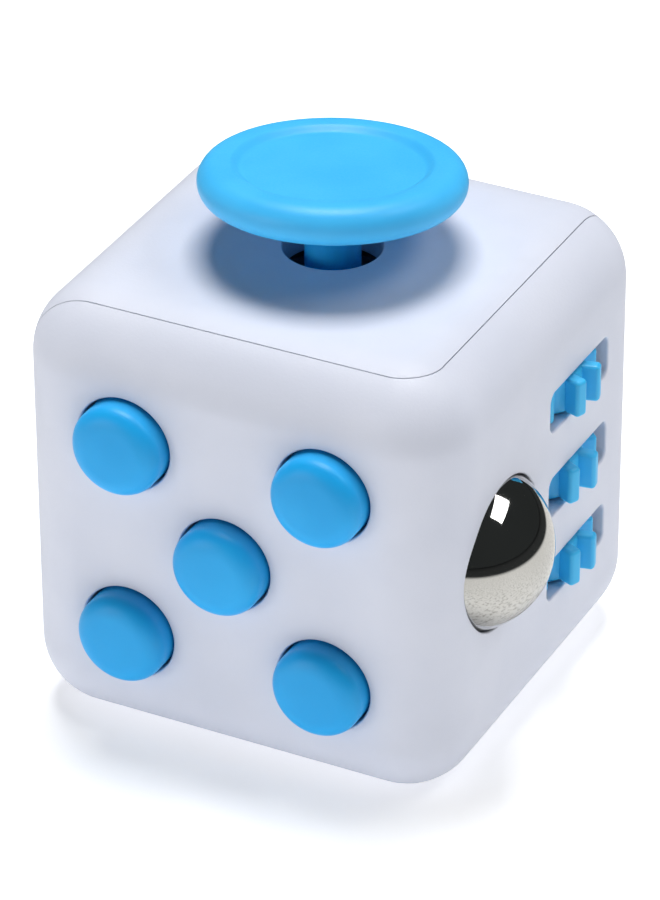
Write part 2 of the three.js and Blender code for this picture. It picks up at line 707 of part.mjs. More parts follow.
detentLeaf().forEach(([name, leaf]) => addPiece(roll, `wheel_leaf_${name}`, leaf, 'spring'));
const axleHalf = 1.5 * WHEEL_PITCH + FRAME_ARM / 2;
addPiece(
  roll, 'wheel_axle',
  disc(AXLE_RADIUS, ROLL_RAISE - axleHalf, ROLL_RAISE + axleHalf, 20, ALONG_Y),
  'spring', [WHEEL_ALONG, 0, -WHEEL_DEPTH],
);
addScrews(roll, 'roll', ROLL_SCREWS, FRAME_LOW - REST_GAP);

// ---- glide face: a thumb pad on a sprung, gimballed stem ----

const glide = faceGroup(FACE.glide);
const pivot = new THREE.Group();
pivot.position.z = -PIVOT_DEPTH;
glide.add(pivot);

const padMiddle = PAD_LIFT + PIVOT_DEPTH;
const stemTop = padMiddle + STEM_ENTRY;
const stemCore = STEM_RADIUS / 2;
const footTop = -CUP_DEPTH + FOOT_HEIGHT;
const footLow = footTop - FOOT_THICK;

// The soft pad leans a little on its stem; its own frame is at the middle of its rim.
function glidePad() {
  const low = -PAD_RIM;
  const high = PAD_RIM;
  const rim = [];
  for (let step = 0; step <= 6; step += 1) {
    const angle = -Math.PI / 2 + step * Math.PI / 6;
    rim.push([PAD_RADIUS - PAD_RIM + PAD_RIM * Math.cos(angle), PAD_RIM * Math.sin(angle)]);
  }
  const pad = turned([
    [0, low], ...rim,
    [PAD_DISH_RADIUS + PAD_DISH_DEPTH, high],
    [PAD_DISH_RADIUS, high - PAD_DISH_DEPTH * 0.7],
    [PAD_DISH_RADIUS - 2 * PAD_DISH_DEPTH, high - PAD_DISH_DEPTH],
    [0, high - PAD_DISH_DEPTH],
  ], 32);
  return cut(pad, disc(STEM_RADIUS + SOCKET_CLEAR, low - OVERRUN, STEM_ENTRY + SOCKET_CLEAR, 24));
}

function glideStem() {
  const core = turned([
    [0, footLow], [SEAT_RADIUS, footLow], [SEAT_RADIUS, footTop],
    [stemCore, footTop + PLUG], [stemCore, -STEM_WAIST - PLUG], [STEM_RADIUS, -STEM_WAIST],
    [STEM_RADIUS, stemTop], [0, stemTop],
  ], 24);
  const reach = RING_OUTER - PIN_INSET;
  return join(core, disc(PIVOT_PIN, -reach, reach, 10, ALONG_Y));
}

function glideRing() {
  const half = RING_THICK / 2;
  const ring = cut(
    washer(RING_INNER, RING_OUTER, -half, half, 24),
    disc(PIVOT_PIN + RUNNING_CLEAR, -RING_OUTER - OVERRUN, RING_OUTER + OVERRUN, 10, ALONG_Y),
  );
  const pinOut = CUP_INNER + CUP_WALL - PIN_INSET;
  const pinIn = RING_OUTER - PIN_BITE;
  return join(
    ring,
    disc(PIVOT_PIN, pinIn, pinOut, 10, ALONG_X),
    disc(PIVOT_PIN, -pinOut, -pinIn, 10, ALONG_X),
  );
}

function glideHousing() {
  const outer = CUP_INNER + CUP_WALL;
  const top = PIVOT_DEPTH + seatTop;
  const cup = cut(
    disc(outer, -CUP_DEPTH - CUP_WALL, top, 28),
    disc(CUP_INNER, -CUP_DEPTH, top + OVERRUN, 28),
  );
  const ears = GLIDE_SCREWS.map(([, x, y]) => disc(
    BOSS_RADIUS, top - FRAME_SHEET, top, 12, move(x, y, 0),
  ));
  const webs = GLIDE_SCREWS.map(([, x, y]) => block(
    [Math.min(x, -EAR_WEB_HALF), Math.min(y, -EAR_WEB_HALF), top - FRAME_SHEET],
    [Math.max(x, EAR_WEB_HALF), Math.max(y, EAR_WEB_HALF), top],
  ));
  return cut(
    join(cup, ...ears, ...webs),
    disc(CUP_INNER, -CUP_DEPTH, top + OVERRUN, 28),
    disc(PIVOT_PIN + RUNNING_CLEAR, -outer - OVERRUN, outer + OVERRUN, 10, ALONG_X),
    ...GLIDE_SCREWS.map(([, x, y]) => disc(
      SCREW_RADIUS + HOLE_CLEAR, top - FRAME_SHEET - OVERRUN, top + OVERRUN, 8, move(x, y, 0),
    )),
  );
}

const pad = addPiece(pivot, 'glide_pad', glidePad(), 'blue', [0, 0, padMiddle]);
pad.rotation.set(PAD_LEAN_X * TURN, PAD_LEAN_Y * TURN, 0);
addPiece(pivot, 'glide_stem', glideStem(), 'blue');
addPiece(pivot, 'glide_ring', glideRing(), 'nylon');
addPiece(pivot, 'glide_housing', glideHousing(), 'nylon');
addPiece(
  pivot, 'glide_spring',
  coil(springRadius, -CUP_DEPTH + REST_GAP, footLow - PLUG, GLIDE_SPRING_TURNS), 'spring',
);
addScrews(glide, 'glide', GLIDE_SCREWS, seatTop - FRAME_SHEET - REST_GAP);

// ---- spin face: a dial that turns in a bearing plate ----

const spin = faceGroup(FACE.spin);
const dialLow = -WALL;
const retainerTop = dialLow - DIAL_GAP;
const retainerLow = retainerTop - RETAINER_SHEET;
const dialPlateTop = seatTop - DIAL_PLATE_DROP;
const dialPlateLow = dialPlateTop - FRAME_SHEET;
const hubLow = dialPlateLow - DIAL_HUB_END;

function dialKnob() {
  const nubBend = DIAL_NUB_ROUND * (1 - Math.SQRT1_2);
  const knob = turned([
    [0, hubLow], [DIAL_HUB, hubLow], [DIAL_HUB, dialLow - PLUG], [DIAL_HUB + DIAL_HUB_FLARE, dialLow],
    [DIAL_RADIUS, dialLow], [DIAL_RADIUS, DIAL_PROUD - DIAL_ROUND],
    [DIAL_RADIUS - DIAL_ROUND, DIAL_PROUD], [0, DIAL_PROUD],
  ], 32);
  const nub = turned([
    [0, 0], [DIAL_NUB, 0], [DIAL_NUB, DIAL_NUB_PROUD - DIAL_NUB_ROUND],
    [DIAL_NUB - nubBend, DIAL_NUB_PROUD - nubBend],
    [DIAL_NUB - DIAL_NUB_ROUND, DIAL_NUB_PROUD], [0, DIAL_NUB_PROUD],
  ], 16, move(0, DIAL_NUB_OFFSET, 0));
  const screwHole = disc(SCREW_RADIUS, hubLow - OVERRUN, hubLow + DIAL_HUB_SCREW + PLUG, 12);
  return cut(join(knob, nub), screwHole);
}

function dialPlate() {
  const round = disc(DIAL_PLATE_RADIUS, dialPlateLow, dialPlateTop, 28);
  const lugs = DIAL_SCREWS.map(([, x, y]) => disc(
    BOSS_RADIUS, dialPlateLow, seatTop, 12, move(x, y, 0),
  ));
  const webs = block(
    [-BOSS_RADIUS, -DIAL_SCREW_OFFSET, dialPlateLow], [BOSS_RADIUS, DIAL_SCREW_OFFSET, dialPlateTop],
  );
  return cut(
    join(round, ...lugs, webs),
    disc(DIAL_HUB + RUNNING_CLEAR, dialPlateLow - OVERRUN, dialPlateTop + OVERRUN, 20),
    ...DIAL_SCREWS.map(([, x, y]) => disc(
      SCREW_RADIUS + HOLE_CLEAR, dialPlateLow - OVERRUN, seatTop + OVERRUN, 8, move(x, y, 0),
    )),
  );
}

addPiece(spin, 'dial_knob', dialKnob(), 'blue');
addPiece(
  spin, 'dial_retainer',
  washer(
    DIAL_HUB + DIAL_HUB_FLARE + RETAINER_BORE_CLEAR, DIAL_RADIUS + RETAINER_OVERLAP,
    retainerLow, retainerTop, 28,
  ), 'nylon',
);
addPiece(spin, 'dial_plate', dialPlate(), 'nylon');
addPiece(spin, 'dial_hub_screw', screw(DIAL_HUB_SCREW), 'spring', [0, 0, hubLow - REST_GAP]);
addScrews(spin, 'dial', DIAL_SCREWS, dialPlateLow - REST_GAP);

// ---- flip face: a rocker that snaps between two stops ----

const flip = faceGroup(FACE.flip);
const rockerPivot = new THREE.Group();
rockerPivot.position.z = -ROCKER_PIVOT_DEPTH;
flip.add(rockerPivot);
const flipTop = seatTop;
const flipLow = flipTop - FLIP_BODY_DEPTH;
const swing = ROCKER_SWING * TURN;
const plungerTip = -ROCKER_HUB - PLUNGER_REACH;

// The rocker's side outline about its pin. One wing lies flush, and the other is its
// mirror image swung up, so either wing lies flush at its own stop.
function rocker() {
  const flush = ROCKER_PIVOT_DEPTH + ROCKER_FLUSH;
  const reach = ROCKER_HALF - ROCKER_FLUSH;
  const swungUp = (x, z) => [
    x * Math.cos(swing) - z * Math.sin(swing), x * Math.sin(swing) + z * Math.cos(swing),
  ];
  const outline = new THREE.Shape();
  outline.moveTo(-ROCKER_HUB, 0);
  outline.absarc(0, 0, ROCKER_HUB, Math.PI, 2 * Math.PI);
  outline.lineTo(...swungUp(reach - ROCKER_DRAFT, flush - ROCKER_WING));
  outline.lineTo(...swungUp(reach, flush));
  outline.lineTo(-flush * Math.tan(swing / 2), flush);
  outline.lineTo(-reach, flush);
  outline.lineTo(ROCKER_DRAFT - reach, flush - ROCKER_WING);
  outline.closePath();
  const wings = new THREE.ExtrudeGeometry(outline, {
    depth: ROCKER_WIDTH, bevelEnabled: false, curveSegments: 6,
  });
  wings.translate(0, 0, -ROCKER_WIDTH / 2);
  wings.rotateX(Math.PI / 2);
  const bore = disc(PIVOT_PIN + RUNNING_CLEAR, -ROCKER_WIDTH, ROCKER_WIDTH, 12, ALONG_Y);
  const wellTop = -PIVOT_PIN - PLUNGER_CORE;
  const well = disc(PLUNGER_RADIUS + RUNNING_CLEAR, -ROCKER_HUB - OVERRUN, wellTop, 14);
  return cut(solid(wings), bore, well);
}

function flipHousing() {
  const [half, wide] = [FLIP_BODY_HALF, FLIP_BODY_WIDTH / 2];
  const box = block([-half, -wide, flipLow], [half, wide, flipTop]);
  const ears = block(
    [-FLIP_SCREW_OFFSET - BOSS_RADIUS, -BOSS_RADIUS, flipTop - FRAME_SHEET],
    [FLIP_SCREW_OFFSET + BOSS_RADIUS, BOSS_RADIUS, flipTop],
  );
  const room = block(
    [-half + FLIP_WALL, -wide + FLIP_WALL, flipLow + FLIP_WALL],
    [half - FLIP_WALL, wide - FLIP_WALL, flipTop + OVERRUN],
  );
  return cut(
    join(box, ears), room,
    ...FLIP_SCREWS.map(([, x, y]) => disc(
      SCREW_RADIUS + HOLE_CLEAR, flipTop - FRAME_SHEET - OVERRUN, flipTop + OVERRUN, 8,
      move(x, y, 0),
    )),
  );
}

// A curved track that the sprung plunger wipes along.
function flipTrack() {
  const inner = -plungerTip + REST_GAP;
  const outer = inner + TRACK_SHEET;
  const spread = TRACK_HALF_ANGLE * TURN;
  const track = new THREE.Shape();
  track.absarc(0, 0, outer, 1.5 * Math.PI - spread, 1.5 * Math.PI + spread);
  track.absarc(0, 0, inner, 1.5 * Math.PI + spread, 1.5 * Math.PI - spread, true);
  track.closePath();
  const strip = new THREE.ExtrudeGeometry(track, {
    depth: TRACK_WIDTH, bevelEnabled: false, curveSegments: 8,
  });
  strip.translate(0, 0, -TRACK_WIDTH / 2);
  strip.rotateX(Math.PI / 2);
  return solid(strip);
}

function flipPlunger() {
  const bend = PLUNGER_RADIUS * (1 - Math.SQRT1_2);
  return turned([
    [0, plungerTip], [PLUNGER_RADIUS - bend, plungerTip + bend],
    [PLUNGER_RADIUS, plungerTip + PLUNGER_RADIUS],
    [PLUNGER_RADIUS, -ROCKER_HUB + REST_GAP], [0, -ROCKER_HUB + REST_GAP],
  ], 14);
}

addPiece(rockerPivot, 'flip_rocker', rocker(), 'blue');
addPiece(rockerPivot, 'flip_plunger', flipPlunger(), 'nylon');
addPiece(rockerPivot, 'flip_track', flipTrack(), 'spring');
const flipPinHalf = FLIP_BODY_WIDTH / 2 - FLIP_WALL - REST_GAP;
addPiece(
  rockerPivot, 'flip_pin', disc(PIVOT_PIN, -flipPinHalf, flipPinHalf, 12, ALONG_Y), 'spring',
);
addPiece(flip, 'flip_housing', flipHousing(), 'nylon');
addScrews(flip, 'flip', FLIP_SCREWS, flipTop - FRAME_SHEET - REST_GAP);

cube.updateMatrixWorld(true);

export default cube;
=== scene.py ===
import json
import math

import bmesh
import bpy
from mathutils import Matrix, Vector


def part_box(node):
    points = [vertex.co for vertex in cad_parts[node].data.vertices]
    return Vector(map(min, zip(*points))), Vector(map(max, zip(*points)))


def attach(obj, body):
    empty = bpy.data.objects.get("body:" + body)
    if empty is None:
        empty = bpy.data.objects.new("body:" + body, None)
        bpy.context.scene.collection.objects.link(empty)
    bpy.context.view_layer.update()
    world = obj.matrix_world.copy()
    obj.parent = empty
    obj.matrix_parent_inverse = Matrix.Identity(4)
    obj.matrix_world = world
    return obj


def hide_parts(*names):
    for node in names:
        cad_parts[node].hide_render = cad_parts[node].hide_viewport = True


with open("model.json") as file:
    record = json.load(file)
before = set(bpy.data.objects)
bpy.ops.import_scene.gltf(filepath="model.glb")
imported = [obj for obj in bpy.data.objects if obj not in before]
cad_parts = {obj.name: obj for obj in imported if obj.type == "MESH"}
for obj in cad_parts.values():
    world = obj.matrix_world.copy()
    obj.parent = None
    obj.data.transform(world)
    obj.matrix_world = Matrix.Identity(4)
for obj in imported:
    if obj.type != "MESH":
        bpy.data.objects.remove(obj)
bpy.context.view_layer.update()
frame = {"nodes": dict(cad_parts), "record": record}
bpy.context.scene.view_settings.view_transform = "Standard"


# ---------------------------------------------------------------------------
# The cube's faces. Each face has its own directions, with its third axis
# pointing out and its zero on the outer skin, so every control is drawn
# flat and then stood on its face. Lengths are in millimetres until a piece
# is finished.

MM = 0.001
cover_low, base_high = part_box("casing_cover")[0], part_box("casing_base")[1]
cube_edge = (base_high.x - cover_low.x) / MM
half_edge = cube_edge / 2


def face_frame(across, up, out):
    axes = Matrix((across, up, out)).transposed().to_4x4()
    centre = Vector((0, 0, half_edge)) + Vector(out) * half_edge
    return Matrix.Translation(centre) @ axes


click_face = face_frame((1, 0, 0), (0, 0, 1), (0, -1, 0))
roll_face = face_frame((0, 1, 0), (0, 0, 1), (1, 0, 0))
spin_face = face_frame((0, -1, 0), (0, 0, 1), (-1, 0, 0))
flip_face = face_frame((-1, 0, 0), (0, 0, 1), (0, 1, 0))
glide_face = face_frame((1, 0, 0), (0, 1, 0), (0, 0, 1))
rest_face = face_frame((1, 0, 0), (0, -1, 0), (0, 0, -1))


def node_centre(node, face):
    """Where a node's middle lies on its face, in millimetres."""
    low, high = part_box(node)
    return face.inverted() @ ((low + high) / 2 / MM)


# ---------------------------------------------------------------------------
# Moulded surface effects that several plastics share. Fine spark grain comes
# from the mould, mottle is the faint cloudiness of coloured resin, and rubbed
# edges are where fingers polish the texture away.


def add_socket(group, label, kind, incoming, default=None):
    direction = "INPUT" if incoming else "OUTPUT"
    socket = group.interface.new_socket(name=label, in_out=direction, socket_type=kind)
    if default is not None:
        socket.default_value = default
    return socket


def wire(tree, source, target):
    tree.links.new(source, target)


def make_mould_grain():
    group = bpy.data.node_groups.new("mould_grain", "ShaderNodeTree")
    add_socket(group, "Grain Size mm", "NodeSocketFloat", True, 0.25)
    add_socket(group, "Mottle Size mm", "NodeSocketFloat", True, 6.0)
    add_socket(group, "Height", "NodeSocketFloat", False)
    add_socket(group, "Mottle", "NodeSocketFloat", False)
    nodes = group.nodes
    given = nodes.new("NodeGroupInput")
    result = nodes.new("NodeGroupOutput")
    place = nodes.new("ShaderNodeTexCoord")
    for label, detail, roughness in (("Height", 3.0, 0.6), ("Mottle", 2.0, 0.5)):
        size = "Grain Size mm" if label == "Height" else "Mottle Size mm"
        scale = nodes.new("ShaderNodeMath")
        scale.operation = "DIVIDE"
        scale.inputs[0].default_value = 1 / MM
        wire(group, given.outputs[size], scale.inputs[1])
        cloud = nodes.new("ShaderNodeTexNoise")
        cloud.inputs["Detail"].default_value = detail
        cloud.inputs["Roughness"].default_value = roughness
        wire(group, place.outputs["Object"], cloud.inputs["Vector"])
        wire(group, scale.outputs[0], cloud.inputs["Scale"])
        wire(group, cloud.outputs["Fac"], result.inputs[label])
    return group


def make_rubbed_edges():
    group = bpy.data.node_groups.new("rubbed_edges", "ShaderNodeTree")
    add_socket(group, "Patch Size mm", "NodeSocketFloat", True, 3.0)
    add_socket(group, "Rub", "NodeSocketFloat", False)
    nodes = group.nodes
    given = nodes.new("NodeGroupInput")
    result = nodes.new("NodeGroupOutput")
    place = nodes.new("ShaderNodeTexCoord")
    split = nodes.new("ShaderNodeSeparateXYZ")
    wire(group, place.outputs["Normal"], split.inputs[0])
    steepest = None
    for axis in range(3):
        size = nodes.new("ShaderNodeMath")
        size.operation = "ABSOLUTE"
        wire(group, split.outputs[axis], size.inputs[0])
        if steepest is None:
            steepest = size
            continue
        larger = nodes.new("ShaderNodeMath")
        larger.operation = "MAXIMUM"
        wire(group, steepest.outputs[0], larger.inputs[0])
        wire(group, size.outputs[0], larger.inputs[1])
        steepest = larger
    corner = nodes.new("ShaderNodeMapRange")
    corner.inputs["From Min"].default_value = 0.97
    corner.inputs["From Max"].default_value = 0.72
    wire(group, steepest.outputs[0], corner.inputs["Value"])
    scale = nodes.new("ShaderNodeMath")
    scale.operation = "DIVIDE"
    scale.inputs[0].default_value = 1 / MM
    wire(group, given.outputs["Patch Size mm"], scale.inputs[1])
    patch = nodes.new("ShaderNodeTexNoise")
    patch.inputs["Detail"].default_value = 4.0
    wire(group, place.outputs["Object"], patch.inputs["Vector"])
    wire(group, scale.outputs[0], patch.inputs["Scale"])
    rub = nodes.new("ShaderNodeMath")
    rub.operation = "MULTIPLY"
    wire(group, corner.outputs["Result"], rub.inputs[0])
    wire(group, patch.outputs["Fac"], rub.inputs[1])
    wire(group, rub.outputs[0], result.inputs["Rub"])
    return group


mould_grain = make_mould_grain()
rubbed_edges = make_rubbed_edges()


def add_group(tree, group, **values):
    node = tree.nodes.new("ShaderNodeGroup")
    node.node_tree = group
    for label, value in values.items():
        node.inputs[label.replace("_", " ")].default_value = value
    return node


def tone_ramp(tree, source, dark, light, low, high):
    ramp = tree.nodes.new("ShaderNodeValToRGB")
    ramp.color_ramp.elements[0].position = low
    ramp.color_ramp.elements[0].color = (*dark, 1)
    ramp.color_ramp.elements[1].position = high
    ramp.color_ramp.elements[1].color = (*light, 1)
    wire(tree, source, ramp.inputs["Fac"])
    return ramp.outputs["Color"]


def value_range(tree, source, low, high):
    spread = tree.nodes.new("ShaderNodeMapRange")
    spread.inputs["From Min"].default_value = 0.3
    spread.inputs["From Max"].default_value = 0.7
    spread.inputs["To Min"].default_value = low
    spread.inputs["To Max"].default_value = high
    wire(tree, source, spread.inputs["Value"])
    return spread.outputs["Result"]


def moulded_plastic(name, dark, light, gloss, grain_mm, relief_mm, glow=0.0, sheen=0.5):
    """An injection-moulded plastic: dark and light are the ends of its cloudiness,
    gloss the roughness where the mould was smooth and where it was rough."""
    material = bpy.data.materials.new(name)
    material.use_nodes = True
    tree = material.node_tree
    shader = tree.nodes["Principled BSDF"]
    grain = add_group(tree, mould_grain, Grain_Size_mm=grain_mm, Mottle_Size_mm=6.0)
    rubbed = add_group(tree, rubbed_edges, Patch_Size_mm=3.0)
    base = tone_ramp(tree, grain.outputs["Mottle"], dark, light, 0.35, 0.65)
    wire(tree, base, shader.inputs["Base Color"])
    matt = value_range(tree, grain.outputs["Height"], gloss[0], gloss[1])
    polish = tree.nodes.new("ShaderNodeMath")
    polish.operation = "MULTIPLY_ADD"
    polish.inputs[1].default_value = -0.14
    wire(tree, rubbed.outputs["Rub"], polish.inputs[0])
    wire(tree, matt, polish.inputs[2])
    wire(tree, polish.outputs[0], shader.inputs["Roughness"])
    bump = tree.nodes.new("ShaderNodeBump")
    bump.inputs["Strength"].default_value = 1.0
    bump.inputs["Distance"].default_value = relief_mm * MM
    wire(tree, grain.outputs["Height"], bump.inputs["Height"])
    wire(tree, bump.outputs["Normal"], shader.inputs["Normal"])
    shader.inputs["Specular IOR Level"].default_value = sheen
    shader.inputs["Subsurface Weight"].default_value = glow
    shader.inputs["Subsurface Radius"].default_value = (1.0, 1.0, 1.0)
    shader.inputs["Subsurface Scale"].default_value = 0.6 * MM
    return material


# ---------------------------------------------------------------------------
# Casing. Two moulded white shells of three faces each, 2 mm thick, snap
# together along a line that runs round the cube just inside its edges. The
# openings for the controls have small moulded radii at their mouths.

WALL = 2.0
EDGE_RADIUS = 5.2
SEAM_INSET = 3.0
SEAM_RADIUS = 2.6
SEAM_GAP = 0.06
SEAM_SOFTENING = 0.22
MOUTH_RADIUS = 0.16
TANGENT_LIFT = 0.004
BUTTON_HOLE = 3.5
STEM_HOLE = 3.46
BALL_HOLE = 5.55
BALL_ROOM = 0.12
DIAL_HOLE = 7.2
OPENING_CORNER = 0.7

white_plastic = moulded_plastic(
    "white_shell_plastic",
    dark=(0.655, 0.685, 0.785), light=(0.685, 0.712, 0.808),
    gloss=(0.46, 0.60), grain_mm=0.22, relief_mm=0.010, glow=0.08,
)


def arc(centre_x, centre_y, radius, start, end, steps):
    """Points along an arc, its angles in degrees."""
    points = []
    for step in range(steps + 1):
        angle = math.radians(start + (end - start) * step / steps)
        points.append((centre_x + radius * math.cos(angle), centre_y + radius * math.sin(angle)))
    return points


def rounded_cube(edge, radius, steps):
    """A cube with round edges, its facets evenly spread over each edge's quarter turn."""
    flat = edge / 2 - radius
    reach = [flat + radius * math.tan(math.radians(45 * step / steps)) for step in range(steps + 1)]
    lines = [-value for value in reversed(reach)] + reach
    shape = bmesh.new()
    for face in (click_face, roll_face, spin_face, flip_face, glide_face, rest_face):
        turn = face.to_3x3()
        grid = []
        for up in lines:
            row = []
            for across in lines:
                point = turn @ Vector((across, up, edge / 2))
                core = Vector([max(-flat, min(flat, value)) for value in point])
                skin = core + (point - core).normalized() * radius
                row.append(shape.verts.new(skin + Vector((0, 0, half_edge))))
            grid.append(row)
        for lower, upper in zip(grid, grid[1:]):
            for k in range(len(lines) - 1):
                shape.faces.new((lower[k], lower[k + 1], upper[k + 1], upper[k]))
    bmesh.ops.remove_doubles(shape, verts=shape.verts, dist=0.001)
    return shape


def lofted(rings):
    """A closed solid through rings of points, each given anticlockwise from outside."""
    shape = bmesh.new()
    loops = [[shape.verts.new(point) for point in ring] for ring in rings]
    count = len(loops[0])
    for lower, upper in zip(loops, loops[1:]):
        for k in range(count):
            after = (k + 1) % count
            shape.faces.new((lower[k], lower[after], upper[after], upper[k]))
    shape.faces.new(list(reversed(loops[0])))
    shape.faces.new(loops[-1])
    return shape


def circle(radius, count=96):
    return [
        (radius * math.cos(2 * math.pi * k / count), radius * math.sin(2 * math.pi * k / count))
        for k in range(count)
    ]


def soft_rectangle(width, height, corner, steps=10):
    points = []
    for quarter, (side, end) in enumerate(((1, 1), (-1, 1), (-1, -1), (1, -1))):
        points += arc(
            side * (width / 2 - corner), end * (height / 2 - corner),
            corner, 90 * quarter, 90 * quarter + 90, steps,
        )
    return points


def skin_drop(across, up):
    """How far the cube's skin lies under the flat of a face, near its round edges."""
    drop = 0.0
    for value in (across, up):
        past = min(abs(value) - (half_edge - EDGE_RADIUS), EDGE_RADIUS * 0.9)
        if past > 0:
            drop += EDGE_RADIUS - math.sqrt(EDGE_RADIUS ** 2 - past ** 2)
    return drop


def mouth(outline, across, up, softness=MOUTH_RADIUS, depth=WALL + 1.0, below=()):
    """The solid that an opening removes. outline(grow) gives its edge, and its mouth
    flares out to the skin on a small radius."""
    levels = list(below) or [(-depth, 0.0)]
    for flare, height in arc(softness, TANGENT_LIFT - softness, softness, 180, 90, 5):
        levels.append((height, flare))
    levels.append((1.5, softness))
    rings = []
    for height, grow in levels:
        ring = []
        for x, y in outline(grow):
            drop = skin_drop(across + x, up + y) if height > -softness - 0.5 else 0.0
            ring.append((across + x, up + y, height - drop))
        rings.append(ring)
    return lofted(rings)


def cut_away(shape, cutters, operation="DIFFERENCE"):
    """Cuts solids out of a shape with exact booleans, and returns the new shape.
    Faces left by a cutter carry material slot 1 if the cutter's faces do."""
    mesh = bpy.data.meshes.new("work")
    shape.to_mesh(mesh)
    body = bpy.data.objects.new("work", mesh)
    bpy.context.collection.objects.link(body)
    tools = []
    for cutter in cutters:
        tool_mesh = bpy.data.meshes.new("cutter")
        cutter.to_mesh(tool_mesh)
        tool = bpy.data.objects.new("cutter", tool_mesh)
        bpy.context.collection.objects.link(tool)
        tools.append(tool)
        step = body.modifiers.new("cut", "BOOLEAN")
        step.operation = operation
        step.solver = "EXACT"
        step.object = tool
    graph = bpy.context.evaluated_depsgraph_get()
    result = bmesh.new()
    result.from_mesh(body.evaluated_get(graph).to_mesh())
    for item in [body, *tools]:
        used = item.data
        bpy.data.objects.remove(item)
        bpy.data.meshes.remove(used)
    return result


def seam_block(grow):
    """The inside corner of the cube that the cover keeps, marked so its cut faces are known."""
    size = 2 * cube_edge
    block = rounded_cube(size, SEAM_RADIUS + grow, 6)
    middle = half_edge - SEAM_INSET + grow - size / 2
    bmesh.ops.translate(block, verts=block.verts, vec=(middle, -middle, -middle))
    for face in block.faces:
        face.material_index = 1
    return block


def soften_seam(shape):
    """Rounds the line where the skin meets the seam's wall."""
    middle = Vector((0, 0, half_edge))
    flat = half_edge - EDGE_RADIUS
    line = []
    for edge in shape.edges:
        sides = [face.material_index for face in edge.link_faces]
        if len(sides) != 2 or sides[0] == sides[1]:
            continue
        place = (edge.verts[0].co + edge.verts[1].co) / 2 - middle
        core = Vector([max(-flat, min(flat, value)) for value in place])
        if (place - core).length > EDGE_RADIUS - WALL / 2:
            line.append(edge)
    bmesh.ops.bevel(
        shape, geom=line, offset=SEAM_SOFTENING, segments=2, profile=0.5,
        affect="EDGES", clamp_overlap=True,
    )
    for face in shape.faces:
        face.material_index = 0


def on_face(shape, face):
    bmesh.ops.transform(shape, matrix=face, verts=shape.verts)
    return shape


def finish_piece(name, shape, material, body, nodes, sharp=32):
    """Turns a shape in millimetres into a finished piece that stands for CAD nodes."""
    bmesh.ops.recalc_face_normals(shape, faces=shape.faces)
    bmesh.ops.scale(shape, vec=(MM, MM, MM), verts=shape.verts)
    mesh = bpy.data.meshes.new(name)
    shape.to_mesh(mesh)
    shape.free()
    mesh.shade_smooth()
    mesh.set_sharp_from_angle(angle=math.radians(sharp))
    mesh.materials.append(material)
    piece = bpy.data.objects.new(name, mesh)
    bpy.context.collection.objects.link(piece)
    even = piece.modifiers.new("even_shading", "WEIGHTED_NORMAL")
    even.keep_sharp = True
    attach(piece, body)
    if nodes:
        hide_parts(*nodes)
    return piece


button_names = [name for name in frame["nodes"] if name.startswith("click_button")]
wheel_names = [name for name in frame["nodes"] if name.startswith("roll_wheel")]
ball_place = node_centre("roll_ball", roll_face)
ball_low, ball_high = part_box("roll_ball")
ball_radius = (ball_high.x - ball_low.x) / 2 / MM
wheel_low, wheel_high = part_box(wheel_names[0])
wheel_thick = (wheel_high.z - wheel_low.z) / MM
wheel_place = node_centre("wheel_axle", roll_face)
WHEEL_RADIUS = 4.4
WINDOW_FRONT_CLEAR = 0.28
WINDOW_BACK_CLEAR = 0.68
WINDOW_SIDE_CLEAR = 0.15
ROCKER_OPENING = (11.8, 8.0)


def button_mouths():
    mouths = []
    for name in button_names:
        place = node_centre(name, click_face)
        hole = mouth(lambda grow: circle(BUTTON_HOLE + grow), place.x, place.y)
        mouths.append(on_face(hole, click_face))
    return mouths


def window_mouths():
    mouths = []
    depth = -wheel_place.z
    chord = math.sqrt(WHEEL_RADIUS ** 2 - (depth - WALL) ** 2)
    length = 2 * chord + WINDOW_FRONT_CLEAR + WINDOW_BACK_CLEAR
    middle = wheel_place.x + (WINDOW_BACK_CLEAR - WINDOW_FRONT_CLEAR) / 2

    def outline(grow):
        height = wheel_thick + 2 * WINDOW_SIDE_CLEAR
        return soft_rectangle(length + 2 * grow, height + 2 * grow, OPENING_CORNER + grow)

    for name in wheel_names:
        rise = node_centre(name, roll_face).y
        mouths.append(on_face(mouth(outline, middle, rise), roll_face))
    return mouths


def ball_mouth():
    """The mouth narrows over the ball, so the ball can't fall out."""
    pocket = ball_radius + BALL_ROOM
    pocket_low, pocket_high = -WALL - 1.2, -0.3
    below = []
    for step in range(9):
        height = pocket_low + (pocket_high - pocket_low) * step / 8
        below.append((height, math.sqrt(pocket ** 2 - (height - ball_place.z) ** 2) - BALL_HOLE))
    hole = mouth(
        lambda grow: circle(BALL_HOLE + grow, 128), ball_place.x, ball_place.y,
        softness=BALL_ROOM, below=below,
    )
    return on_face(hole, roll_face)


HOLLOW_LENGTH = 20.0
HOLLOW_WIDTH = 15.0
HOLLOW_DEPTH = 1.6
HOLLOW_DISH = 0.93
HOLLOW_LIP = 0.13


